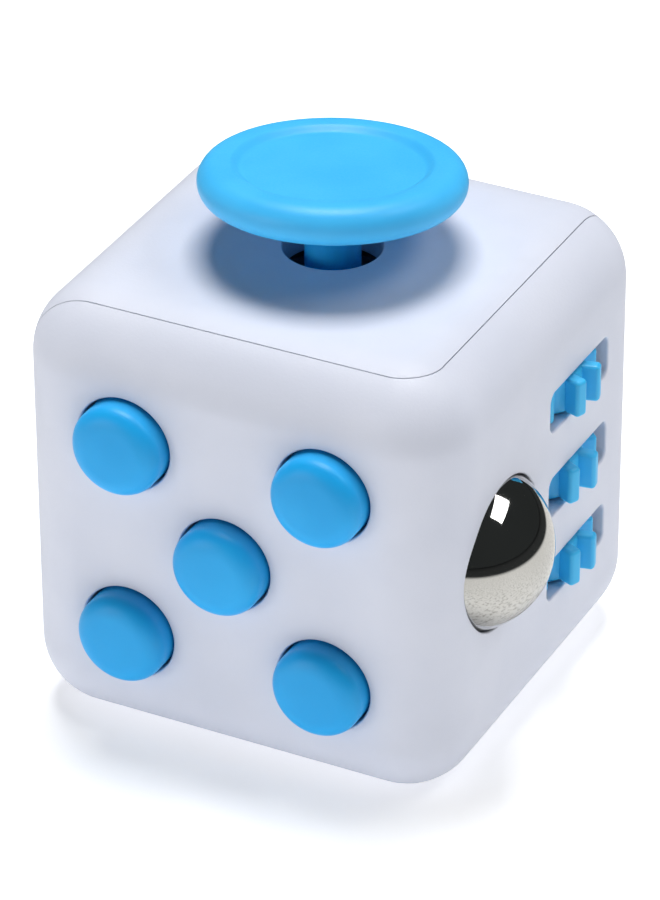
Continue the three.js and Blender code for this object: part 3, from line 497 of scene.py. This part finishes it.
def thumb_hollow():
    """A shallow oval dish with a soft rim, under the cube. Each level is a height and
    a share of the full oval: the dish first, and then the quarter turn of its lip."""
    levels = [(-HOLLOW_DEPTH + 0.0005, 0.02)]
    for step in range(1, 13):
        share = step / 12
        fall = math.cos(math.pi / 2 * share * 0.92) ** 1.2
        levels.append((-HOLLOW_DEPTH * fall, share * HOLLOW_DISH))
    dish_top = levels[-1][0]
    for step in range(1, 7):
        turn = math.radians(15 * step)
        height = dish_top + (TANGENT_LIFT - dish_top) * math.sin(turn)
        levels.append((height, HOLLOW_DISH + HOLLOW_LIP * (1 - math.cos(turn))))
    levels.append((1.5, HOLLOW_DISH + HOLLOW_LIP))
    rings = []
    for height, share in levels:
        across, up = HOLLOW_LENGTH / 2 * share, HOLLOW_WIDTH / 2 * share
        rings.append([(across * x, up * y, height) for x, y in circle(1.0, 128)])
    return on_face(lofted(rings), rest_face)


outer_skin = rounded_cube(cube_edge, EDGE_RADIUS, 9)
inner_room = rounded_cube(cube_edge - 2 * WALL, EDGE_RADIUS - WALL, 4)

base_shell = cut_away(outer_skin.copy(), [inner_room.copy(), seam_block(SEAM_GAP)])
soften_seam(base_shell)
base_shell = cut_away(
    base_shell, button_mouths() + window_mouths() + [ball_mouth(), thumb_hollow()],
)
finish_piece(
    "casing_base_shell", base_shell, white_plastic, "casing", ["casing_base"],
)

cover_shell = cut_away(outer_skin, [inner_room])
cover_shell = cut_away(cover_shell, [seam_block(0)], "INTERSECT")
soften_seam(cover_shell)


def rocker_opening(grow):
    width, height = ROCKER_OPENING
    return soft_rectangle(width + 2 * grow, height + 2 * grow, OPENING_CORNER + grow)


cover_shell = cut_away(cover_shell, [
    on_face(mouth(lambda grow: circle(STEM_HOLE + grow), 0, 0), glide_face),
    on_face(mouth(lambda grow: circle(DIAL_HOLE + grow, 128), 0, 0), spin_face),
    on_face(mouth(rocker_opening, 0, 0), flip_face),
])
finish_piece(
    "casing_cover_shell", cover_shell, white_plastic, "casing", ["casing_cover"],
)


# ---------------------------------------------------------------------------
# Buttons. Five blue caps in the pattern of a die's five, each moulded with a
# flange that holds it behind the face and a generous radius round its front.

BUTTON_RADIUS = 3.32
BUTTON_CROWN = 0.10
BUTTON_RIM_REACH = 1.65
BUTTON_RIM_DROP = 1.15
FLANGE_CLEAR = 0.2

blue_plastic = moulded_plastic(
    "blue_control_plastic",
    dark=(0.010, 0.375, 0.810), light=(0.016, 0.410, 0.860),
    gloss=(0.40, 0.52), grain_mm=0.16, relief_mm=0.005, glow=0.10, sheen=0.32,
)


def turned(outline, count=96):
    """A lathe shape about the face's outward axis, from (radius, height) points."""
    shape = bmesh.new()
    rings = []
    for radius, height in outline:
        if radius < 1e-6:
            rings.append([shape.verts.new((0, 0, height))])
        else:
            rings.append([shape.verts.new((x, y, height)) for x, y in circle(radius, count)])
    if outline[0] == outline[-1] and outline[0][0] > 1e-6:
        for vertex in rings.pop():
            shape.verts.remove(vertex)
        rings.append(rings[0])
    for lower, upper in zip(rings, rings[1:]):
        for k in range(count):
            corners = []
            for ring, step in ((lower, 0), (lower, 1), (upper, 1), (upper, 0)):
                vertex = ring[(k + step) % len(ring)]
                if vertex not in corners:
                    corners.append(vertex)
            shape.faces.new(corners)
    return shape


def button_cap(low, flange, proud):
    """A broad rim rolls over into a front that is very slightly crowned."""
    flat = BUTTON_RADIUS - BUTTON_RIM_REACH
    rim = [
        (flat + BUTTON_RIM_REACH * x, proud - BUTTON_CROWN - BUTTON_RIM_DROP * (1 - y))
        for x, y in arc(0, 0, 1.0, 0, 88, 14)
    ]
    front = [(flat * share, proud - BUTTON_CROWN * share ** 2) for share in (0.75, 0.5, 0.25, 0.0)]
    behind = -WALL - FLANGE_CLEAR
    return turned(
        [(0, low), (flange, low), (flange, behind), (BUTTON_RADIUS, behind)] + rim + front
    )


for name in button_names:
    low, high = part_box(name)
    place = node_centre(name, click_face)
    proud, bottom = (-edge.y / MM - half_edge for edge in (low, high))
    flange = (high.x - low.x) / 2 / MM
    cap = button_cap(bottom, flange, proud)
    bmesh.ops.translate(cap, verts=cap.verts, vec=(place.x, place.y, 0))
    finish_piece(
        name + "_cap", on_face(cap, click_face), blue_plastic,
        name.replace("click_", ""), [name],
    )


# ---------------------------------------------------------------------------
# Ball. A polished 12 mm bearing ball that rolls in a socket and springs back
# when it is pushed in. Handling leaves faint hairlines on the polish.


def bearing_steel():
    material = bpy.data.materials.new("bearing_steel")
    material.use_nodes = True
    tree = material.node_tree
    shader = tree.nodes["Principled BSDF"]
    shader.inputs["Metallic"].default_value = 1.0
    grain = add_group(tree, mould_grain, Grain_Size_mm=1.4, Mottle_Size_mm=5.0)
    tint = tone_ramp(
        tree, grain.outputs["Mottle"], (0.59, 0.585, 0.57), (0.66, 0.655, 0.64), 0.3, 0.7,
    )
    wire(tree, tint, shader.inputs["Base Color"])
    wire(tree, value_range(tree, grain.outputs["Height"], 0.03, 0.08), shader.inputs["Roughness"])
    place = tree.nodes.new("ShaderNodeTexCoord")
    stretch = tree.nodes.new("ShaderNodeMapping")
    stretch.inputs["Scale"].default_value = (300, 5200, 900)
    stretch.inputs["Rotation"].default_value = (0.4, 0.7, 0.2)
    wire(tree, place.outputs["Object"], stretch.inputs["Vector"])
    hairline = tree.nodes.new("ShaderNodeTexNoise")
    hairline.inputs["Scale"].default_value = 1.0
    hairline.inputs["Detail"].default_value = 2.0
    wire(tree, stretch.outputs["Vector"], hairline.inputs["Vector"])
    bump = tree.nodes.new("ShaderNodeBump")
    bump.inputs["Strength"].default_value = 0.35
    bump.inputs["Distance"].default_value = 0.0015 * MM
    wire(tree, hairline.outputs["Fac"], bump.inputs["Height"])
    wire(tree, bump.outputs["Normal"], shader.inputs["Normal"])
    return material


steel = bearing_steel()
ball = turned(
    [(ball_radius * x, ball_radius * y) for x, y in arc(0, 0, 1.0, -90, 90, 64)], 128,
)
bmesh.ops.remove_doubles(ball, verts=ball.verts, dist=0.0005)
bmesh.ops.translate(ball, verts=ball.verts, vec=ball_place)
finish_piece(
    "roll_ball_polished", on_face(ball, roll_face), steel, "ball", ["roll_ball"],
)


# ---------------------------------------------------------------------------
# Wheels. Three blue toothed wheels share one steel axle behind three slots.
# The teeth are blunt, with rounded tips and edges that a thumb can drag. Their
# widths are shares of the step from one tooth to the next.

TOOTH_COUNT = 10
TOOTH_STEP = 360 / TOOTH_COUNT
TOOTH_TIP = 0.36
TOOTH_ROOT = 0.5
WHEEL_ROOT = 3.2
AXLE_HOLE = 1.1
TOOTH_ROUND = 0.3


def soft_prism(corners, low, high, radius, bend=5):
    """An upright prism whose corners and edges are all rounded; corners run anticlockwise."""
    count = len(corners)
    points = [Vector(corner) for corner in corners]
    normals = []
    for k in range(count):
        along = (points[(k + 1) % count] - points[k]).normalized()
        normals.append(Vector((along.y, -along.x)))

    def ring(grow, height):
        loop = []
        for k in range(count):
            before, after = normals[k - 1], normals[k]
            core = points[k] - (before + after) * radius / (1 + before.dot(after))
            if before.x * after.y - before.y * after.x <= 1e-6:
                place = core + (before + after) * grow / (1 + before.dot(after))
                loop.append((place.x, place.y, height))
                continue
            for step in range(bend + 1):
                swing = before.lerp(after, step / bend).normalized()
                place = core + swing * grow
                loop.append((place.x, place.y, height))
        return loop

    rings = []
    for x, y in arc(0, 0, radius, 86, 0, 5):
        rings.append(ring(x, low + radius - y))
    for x, y in arc(0, 0, radius, 0, 86, 5):
        rings.append(ring(x, high - radius + y))
    return lofted(rings)


# The wheels are the same blue plastic as the buttons. Their base colour is painted lighter and more
# cyan, as painted light for the light that passes into and falls on them inside their slots. Only
# the subsurface glow is the plastic's real translucency.
wheel_plastic_painted_lighter = moulded_plastic(
    "blue_wheel_plastic",
    dark=(0.040, 0.470, 0.840), light=(0.055, 0.510, 0.890),
    gloss=(0.34, 0.46), grain_mm=0.16, relief_mm=0.005, glow=0.16, sheen=0.40,
)


def round_bore(radius, half, count):
    """The round hole through a prism that reaches half its length each way."""
    return lofted([
        [(x, y, height) for x, y in circle(radius, count)] for height in (-half - 1, half + 1)
    ])


def gear_wheel():
    outline = []
    half_tip = TOOTH_TIP / 2 * TOOTH_STEP
    half_root = TOOTH_ROOT / 2 * TOOTH_STEP
    for tooth in range(TOOTH_COUNT):
        middle = tooth * TOOTH_STEP
        outline += arc(0, 0, WHEEL_RADIUS, middle - half_tip, middle + half_tip, 1)
        outline += arc(
            0, 0, WHEEL_ROOT, middle + half_root, middle + TOOTH_STEP - half_root, 2,
        )
    half = wheel_thick / 2
    return cut_away(
        soft_prism(outline, -half, half, TOOTH_ROUND), [round_bore(AXLE_HOLE, half, 48)],
    )


def first_tooth(node):
    """The angle, about the axle, of a tooth tip of the CAD wheel."""
    axle = roll_face @ wheel_place
    tips = []
    for vertex in frame["nodes"][node].data.vertices:
        across = vertex.co.y / MM - axle.y
        out = vertex.co.x / MM - axle.x
        if math.hypot(across, out) > WHEEL_RADIUS - 0.05:
            tips.append(math.degrees(math.atan2(across, out)))
    sine = sum(math.sin(math.radians(tip * TOOTH_COUNT)) for tip in tips)
    cosine = sum(math.cos(math.radians(tip * TOOTH_COUNT)) for tip in tips)
    return math.degrees(math.atan2(sine, cosine)) / TOOTH_COUNT


for name in wheel_names:
    rise = node_centre(name, roll_face).y
    wheel = gear_wheel()
    upright = Matrix(((0, 1, 0), (0, 0, 1), (1, 0, 0))).to_4x4()
    turn = Matrix.Rotation(math.radians(first_tooth(name)), 4, "Z")
    place = Matrix.Translation((wheel_place.x, rise, wheel_place.z))
    bmesh.ops.transform(wheel, matrix=place @ upright @ turn, verts=wheel.verts)
    finish_piece(
        name + "_toothed", on_face(wheel, roll_face), wheel_plastic_painted_lighter,
        name.replace("roll_", ""), [name],
    )


# ---------------------------------------------------------------------------
# Glide pad. A soft blue disc with a full round rim and a shallow dish for the
# thumb sits on a round stem, which tilts every way in the hole below it. The
# pad leans a little on the stem.

PAD_RADIUS = 9.23
PAD_RIM = 1.39
DISH_RADIUS = 6.75
DISH_DEPTH = 0.42
SOCKET_FLOOR = 1.2
SOCKET_RADIUS = 2.25
SOCKET_ROUND = 0.15

# The pad's base colour is painted lighter than the buttons' blue, as painted light for the brighter
# light that falls on its up-facing top.
pad_plastic_painted_lighter = moulded_plastic(
    "blue_pad_plastic",
    dark=(0.050, 0.475, 0.900), light=(0.064, 0.515, 0.950),
    gloss=(0.40, 0.52), grain_mm=0.16, relief_mm=0.006, glow=0.12, sheen=0.32,
)


def pad_frame():
    """The pad's place, and its lean as read from the flats of its CAD mesh."""
    upward = Vector((0, 0, 0))
    for face in frame["nodes"]["glide_pad"].data.polygons:
        if abs(face.normal.z) > 0.9:
            upward += face.normal * math.copysign(face.area, face.normal.z)
    low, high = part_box("glide_pad")
    lean = Vector((0, 0, 1)).rotation_difference(upward.normalized())
    return Matrix.Translation((low + high) / 2 / MM) @ lean.to_matrix().to_4x4()


def glide_pad():
    rim = arc(PAD_RADIUS - PAD_RIM, 0, PAD_RIM, -90, 90, 20)
    dish = []
    for step in range(1, 11):
        share = step / 10
        fall = DISH_DEPTH * (1 - math.cos(math.pi * share)) / 2
        dish.append((DISH_RADIUS + 0.35 - 0.9 * share, PAD_RIM - fall))
    floor = PAD_RIM - DISH_DEPTH
    socket = [(0, SOCKET_FLOOR - PAD_RIM), (SOCKET_RADIUS, SOCKET_FLOOR - PAD_RIM)]
    socket += arc(
        SOCKET_RADIUS + SOCKET_ROUND, SOCKET_ROUND - PAD_RIM, SOCKET_ROUND, 180, 270, 4,
    )
    middle = [(4.0, floor - 0.03), (2.0, floor - 0.045), (0, floor - 0.05)]
    return turned(socket + rim + dish + middle, 160)


pad = glide_pad()
bmesh.ops.transform(pad, matrix=pad_frame(), verts=pad.verts)
finish_piece("glide_pad_disc", pad, pad_plastic_painted_lighter, "glide_stick", ["glide_pad"])


STEM_RADIUS = 1.95
STEM_BEVEL = 0.15
STEM_NECK = 1.0
STEM_FOOT = 2.6
TILT_DEPTH = 5
TILT_PIN_RADIUS = 0.5
TILT_PIN_REACH = 3.8


def glide_stem():
    """A round stem, its neck and foot inside, and the pin that it tilts on."""
    low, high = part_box("glide_stem")
    bottom, top = low.z / MM, high.z / MM
    tilt_point = cube_edge - TILT_DEPTH
    waist = tilt_point - 1.3
    foot = bottom + 0.7
    stem = turned([
        (0, bottom), (STEM_FOOT, bottom), (STEM_FOOT, foot),
        (STEM_NECK, foot + 0.4), (STEM_NECK, waist - 0.5), (STEM_RADIUS, waist),
        (STEM_RADIUS, top - STEM_BEVEL), (STEM_RADIUS - STEM_BEVEL, top), (0, top),
    ], 64)
    pin = turned([
        (0, -TILT_PIN_REACH), (TILT_PIN_RADIUS, -TILT_PIN_REACH),
        (TILT_PIN_RADIUS, TILT_PIN_REACH), (0, TILT_PIN_REACH),
    ], 24)
    across = Matrix.Translation((0, 0, tilt_point)) @ Matrix.Rotation(math.radians(90), 4, "X")
    bmesh.ops.transform(pin, matrix=across, verts=pin.verts)
    return combined(stem, pin)


def combined(shape, extra):
    return cut_away(shape, [extra], "UNION")


finish_piece(
    "glide_stem_round", glide_stem(), blue_plastic, "glide_stick", ["glide_stem"],
)


# ---------------------------------------------------------------------------
# Dial. A blue disc on the left face turns on a hub behind it. A domed nub off
# its centre is what the finger pushes round.

DIAL_RADIUS = 7.0
DIAL_PROUD = 1.2
DIAL_ROUND = 0.6
HUB_RADIUS = 1.6
HUB_BORE = 0.75
HUB_BORE_DEPTH = 2.9
NUB_RADIUS = 1.7
NUB_OFFSET = -4.2
NUB_PROUD = 3.3
NUB_ROUND = 0.9
NUB_FILLET = 0.3


def dial():
    """A disc with a shallow dish and a bored hub, and the nub that stands on it."""
    hub_end = -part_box("dial_knob")[1].x / MM - half_edge
    bore_end = hub_end + HUB_BORE_DEPTH
    rim = arc(DIAL_RADIUS - DIAL_ROUND, DIAL_PROUD - DIAL_ROUND, DIAL_ROUND, 0, 90, 8)
    disc = turned([
        (0, bore_end), (HUB_BORE, bore_end), (HUB_BORE, hub_end), (HUB_RADIUS, hub_end),
        (HUB_RADIUS, -WALL - 0.5), (HUB_RADIUS + 1, -WALL), (DIAL_RADIUS, -WALL), *rim,
        (5.9, DIAL_PROUD - 0.01), (5.5, DIAL_PROUD - 0.10), (5.0, DIAL_PROUD - 0.16),
        (0, DIAL_PROUD - 0.2),
    ], 128)
    foot_radius = NUB_RADIUS + NUB_FILLET
    dome = arc(NUB_RADIUS - NUB_ROUND, NUB_PROUD - NUB_ROUND, NUB_ROUND, 0, 84, 8)
    foot = arc(foot_radius, DIAL_PROUD + 0.12, NUB_FILLET, 270, 180, 4)
    nub = turned([(0, 0), (foot_radius, 0), *foot, *dome, (0, NUB_PROUD)], 64)
    bmesh.ops.translate(nub, verts=nub.verts, vec=(0, NUB_OFFSET, 0))
    return combined(disc, nub)


finish_piece(
    "dial_knob_disc", on_face(dial(), spin_face), blue_plastic, "dial", ["dial_knob"],
)


# ---------------------------------------------------------------------------
# Rocker. A blue see-saw switch on the back face. One wing lies almost flush
# while the other stands up, and it snaps over when it is pushed.

ROCKER_REACH = 5.3
ROCKER_WIDTH = 7.4
ROCKER_SWING = 15
ROCKER_PIVOT = 3.0
ROCKER_FLUSH = 0.3
ROCKER_HUB = 2.0
ROCKER_WING = 1.5
ROCKER_DRAFT = 0.2
ROCKER_ROUND = 0.35
ROCKER_PIN_HOLE = 0.6
PLUNGER_WELL_RADIUS = 0.9
PLUNGER_WELL_TOP = -0.8


def rocker():
    """Drawn about its pin. One wing lies flush, and the other is its mirror image swung up."""
    flush = ROCKER_PIVOT + ROCKER_FLUSH
    swing = math.radians(ROCKER_SWING)

    def swung_up(x, z):
        turned_x = x * math.cos(swing) - z * math.sin(swing)
        return (turned_x, x * math.sin(swing) + z * math.cos(swing))

    outline = arc(0, 0, ROCKER_HUB, 180, 360, 12)
    outline += [
        swung_up(ROCKER_REACH - ROCKER_DRAFT, flush - ROCKER_WING),
        swung_up(ROCKER_REACH, flush),
        (-flush * math.tan(swing / 2), flush),
        (-ROCKER_REACH, flush),
        (ROCKER_DRAFT - ROCKER_REACH, flush - ROCKER_WING),
    ]
    half = ROCKER_WIDTH / 2
    shape = soft_prism(outline, -half, half, ROCKER_ROUND)
    shape = cut_away(shape, [round_bore(ROCKER_PIN_HOLE, half, 32)])
    upright = Matrix(((1, 0, 0), (0, 0, -1), (0, 1, 0))).to_4x4()
    bmesh.ops.transform(shape, matrix=upright, verts=shape.verts)
    well_low = -ROCKER_HUB - 1
    well = turned([
        (0, well_low), (PLUNGER_WELL_RADIUS, well_low),
        (PLUNGER_WELL_RADIUS, PLUNGER_WELL_TOP), (0, PLUNGER_WELL_TOP),
    ], 32)
    shape = cut_away(shape, [well])
    bmesh.ops.translate(shape, verts=shape.verts, vec=(0, 0, -ROCKER_PIVOT))
    return shape


finish_piece(
    "flip_rocker_wings", on_face(rocker(), flip_face), blue_plastic, "rocker",
    ["flip_rocker"],
)


# ---------------------------------------------------------------------------
# Inside parts. Grey nylon frames, bright steel springs, screws and domes keep
# their CAD shapes, because only slivers of them show through the openings.


def inside_finish(name, dark, light, gloss, metal):
    material = bpy.data.materials.new(name)
    material.use_nodes = True
    tree = material.node_tree
    shader = tree.nodes["Principled BSDF"]
    shader.inputs["Metallic"].default_value = metal
    grain = add_group(tree, mould_grain, Grain_Size_mm=0.3, Mottle_Size_mm=3.0)
    wire(
        tree, tone_ramp(tree, grain.outputs["Mottle"], dark, light, 0.35, 0.65),
        shader.inputs["Base Color"],
    )
    wire(tree, value_range(tree, grain.outputs["Height"], *gloss), shader.inputs["Roughness"])
    bump = tree.nodes.new("ShaderNodeBump")
    bump.inputs["Strength"].default_value = 0.6
    bump.inputs["Distance"].default_value = 0.006 * MM
    wire(tree, grain.outputs["Height"], bump.inputs["Height"])
    wire(tree, bump.outputs["Normal"], shader.inputs["Normal"])
    return material


nylon = inside_finish("grey_nylon", (0.20, 0.21, 0.24), (0.26, 0.27, 0.30), (0.45, 0.62), 0.0)
spring_steel = inside_finish(
    "spring_steel", (0.42, 0.42, 0.43), (0.52, 0.52, 0.53), (0.2, 0.34), 1.0,
)
inside_materials = {"inner_nylon": nylon, "spring_steel": spring_steel}
slot_of = {entry["node"]: entry["material_slot"] for entry in frame["record"]["subparts"]}
for name, node in frame["nodes"].items():
    if slot_of[name] in inside_materials:
        node.data.materials.clear()
        node.data.materials.append(inside_materials[slot_of[name]])


# ---------------------------------------------------------------------------
# Studio. A white table lit faintly from below, a soft box overhead, one to the
# right and one low at the front left, and a room whose walls are pale.

TABLE_SIZE = 6.0
TABLE_GLOW = 0.40
SHEET_EDGE = (0.084, 0.104)
WALL_GLOW = 0.36
CEILING_GLOW = 0.03


def make_floor():
    mesh = bpy.data.meshes.new("table_top")
    half = TABLE_SIZE / 2
    mesh.from_pydata(
        [(-half, -half, 0), (half, -half, 0), (half, half, 0), (-half, half, 0)],
        [], [(0, 1, 2, 3)],
    )
    floor = bpy.data.objects.new("table_top", mesh)
    floor.location.z = -0.00002
    bpy.context.collection.objects.link(floor)
    material = bpy.data.materials.new("white_table")
    material.use_nodes = True
    tree = material.node_tree
    shader = tree.nodes["Principled BSDF"]
    grain = add_group(tree, mould_grain, Grain_Size_mm=1.3, Mottle_Size_mm=60.0)
    cloth = tone_ramp(
        tree, grain.outputs["Height"], (0.50, 0.49, 0.46), (0.83, 0.82, 0.79), 0.36, 0.50,
    )
    # Beyond the sheet the room is dark, which only polished metal shows.
    place = tree.nodes.new("ShaderNodeTexCoord")
    reach = tree.nodes.new("ShaderNodeVectorMath")
    reach.operation = "LENGTH"
    wire(tree, place.outputs["Object"], reach.inputs[0])
    sheet = tree.nodes.new("ShaderNodeMapRange")
    sheet.inputs["From Min"].default_value = SHEET_EDGE[0]
    sheet.inputs["From Max"].default_value = SHEET_EDGE[1]
    sheet.inputs["To Min"].default_value = 1.0
    sheet.inputs["To Max"].default_value = 0.0
    wire(tree, reach.outputs["Value"], sheet.inputs["Value"])
    dimmed = tree.nodes.new("ShaderNodeMix")
    dimmed.data_type = "RGBA"
    dimmed.inputs["A"].default_value = (0.022, 0.024, 0.024, 1)
    wire(tree, sheet.outputs["Result"], dimmed.inputs["Factor"])
    wire(tree, cloth, dimmed.inputs["B"])
    seen = tree.nodes.new("ShaderNodeMix")
    seen.data_type = "RGBA"
    seen.inputs["A"].default_value = (0.93, 0.93, 0.935, 1)
    ray = tree.nodes.new("ShaderNodeLightPath")
    wire(tree, ray.outputs["Is Glossy Ray"], seen.inputs["Factor"])
    wire(tree, dimmed.outputs["Result"], seen.inputs["B"])
    wire(tree, seen.outputs["Result"], shader.inputs["Base Color"])
    shader.inputs["Roughness"].default_value = 0.9
    shader.inputs["Specular IOR Level"].default_value = 0.1
    # The table is lit from below, so the cube's shadow on it stays faint.
    shader.inputs["Emission Color"].default_value = (1.0, 1.0, 1.0, 1)
    backlight = tree.nodes.new("ShaderNodeMath")
    backlight.operation = "MULTIPLY_ADD"
    backlight.inputs[1].default_value = -TABLE_GLOW
    backlight.inputs[2].default_value = TABLE_GLOW
    wire(tree, ray.outputs["Is Glossy Ray"], backlight.inputs[0])
    wire(tree, backlight.outputs[0], shader.inputs["Emission Strength"])
    mesh.materials.append(material)


def aim(thing, place, target):
    thing.location = place
    thing.rotation_euler = (target - place).to_track_quat("-Z", "Y").to_euler()


def soft_box(name, place, size, power, target):
    light = bpy.data.lights.new(name, "AREA")
    light.shape = "RECTANGLE"
    light.size, light.size_y = size
    light.energy = power
    box = bpy.data.objects.new(name, light)
    bpy.context.collection.objects.link(box)
    aim(box, Vector(place), target)


def make_room():
    world = bpy.data.worlds.new("room")
    bpy.context.scene.world = world
    world.use_nodes = True
    tree = world.node_tree
    tree.nodes.clear()
    output = tree.nodes.new("ShaderNodeOutputWorld")
    mix = tree.nodes.new("ShaderNodeMixShader")
    ray = tree.nodes.new("ShaderNodeLightPath")
    pale = tree.nodes.new("ShaderNodeBackground")
    pale.inputs["Color"].default_value = (0.97, 0.985, 1.0, 1)
    # The walls are brighter than the ceiling.
    direction = tree.nodes.new("ShaderNodeTexCoord")
    split = tree.nodes.new("ShaderNodeSeparateXYZ")
    wire(tree, direction.outputs["Generated"], split.inputs[0])
    fade = tree.nodes.new("ShaderNodeMapRange")
    fade.inputs["From Min"].default_value = 0.0
    fade.inputs["From Max"].default_value = 0.6
    fade.inputs["To Min"].default_value = WALL_GLOW
    fade.inputs["To Max"].default_value = CEILING_GLOW
    wire(tree, split.outputs["Z"], fade.inputs["Value"])
    wire(tree, fade.outputs["Result"], pale.inputs["Strength"])
    dim = tree.nodes.new("ShaderNodeBackground")
    dim.inputs["Color"].default_value = (0.9, 1.0, 1.0, 1)
    dim.inputs["Strength"].default_value = CEILING_GLOW
    wire(tree, ray.outputs["Is Glossy Ray"], mix.inputs["Fac"])
    wire(tree, pale.outputs[0], mix.inputs[1])
    wire(tree, dim.outputs[0], mix.inputs[2])
    wire(tree, mix.outputs[0], output.inputs["Surface"])


CAMERA_ANGLES = (26.94, 31.20, -0.25)
CAMERA_DISTANCE = 366.2


def make_camera():
    """Looks down on the front right edge from CAMERA_DISTANCE away."""
    azimuth, elevation, roll = (math.radians(value) for value in CAMERA_ANGLES)
    target = Vector((-0.33, -0.21, half_edge - 0.06)) * MM
    back = Vector((
        math.sin(azimuth) * math.cos(elevation),
        -math.cos(azimuth) * math.cos(elevation),
        math.sin(elevation),
    ))
    data = bpy.data.cameras.new("camera")
    data.lens = 209.8
    data.sensor_width = 36.0
    data.shift_x = 0.0021
    data.shift_y = 0.0031
    data.clip_start = 0.01
    camera = bpy.data.objects.new("camera", data)
    bpy.context.collection.objects.link(camera)
    aim(camera, target + back * CAMERA_DISTANCE * MM, target)
    level = camera.rotation_euler.to_matrix()
    camera.rotation_euler = (level @ Matrix.Rotation(roll, 3, "Z")).to_euler()
    bpy.context.scene.camera = camera


make_floor()
make_room()
cube_middle = Vector((0, 0, half_edge * MM))
soft_box("overhead_box", (-0.08, 0.18, 0.92), (0.40, 0.40), 8.4, cube_middle)
soft_box("right_box", (0.56, 0.25, 0.79), (0.60, 0.28), 2.3, cube_middle)
soft_box("front_left_box", (-0.50, -0.80, 0.18), (0.40, 0.40), 2.1, cube_middle)
make_camera()
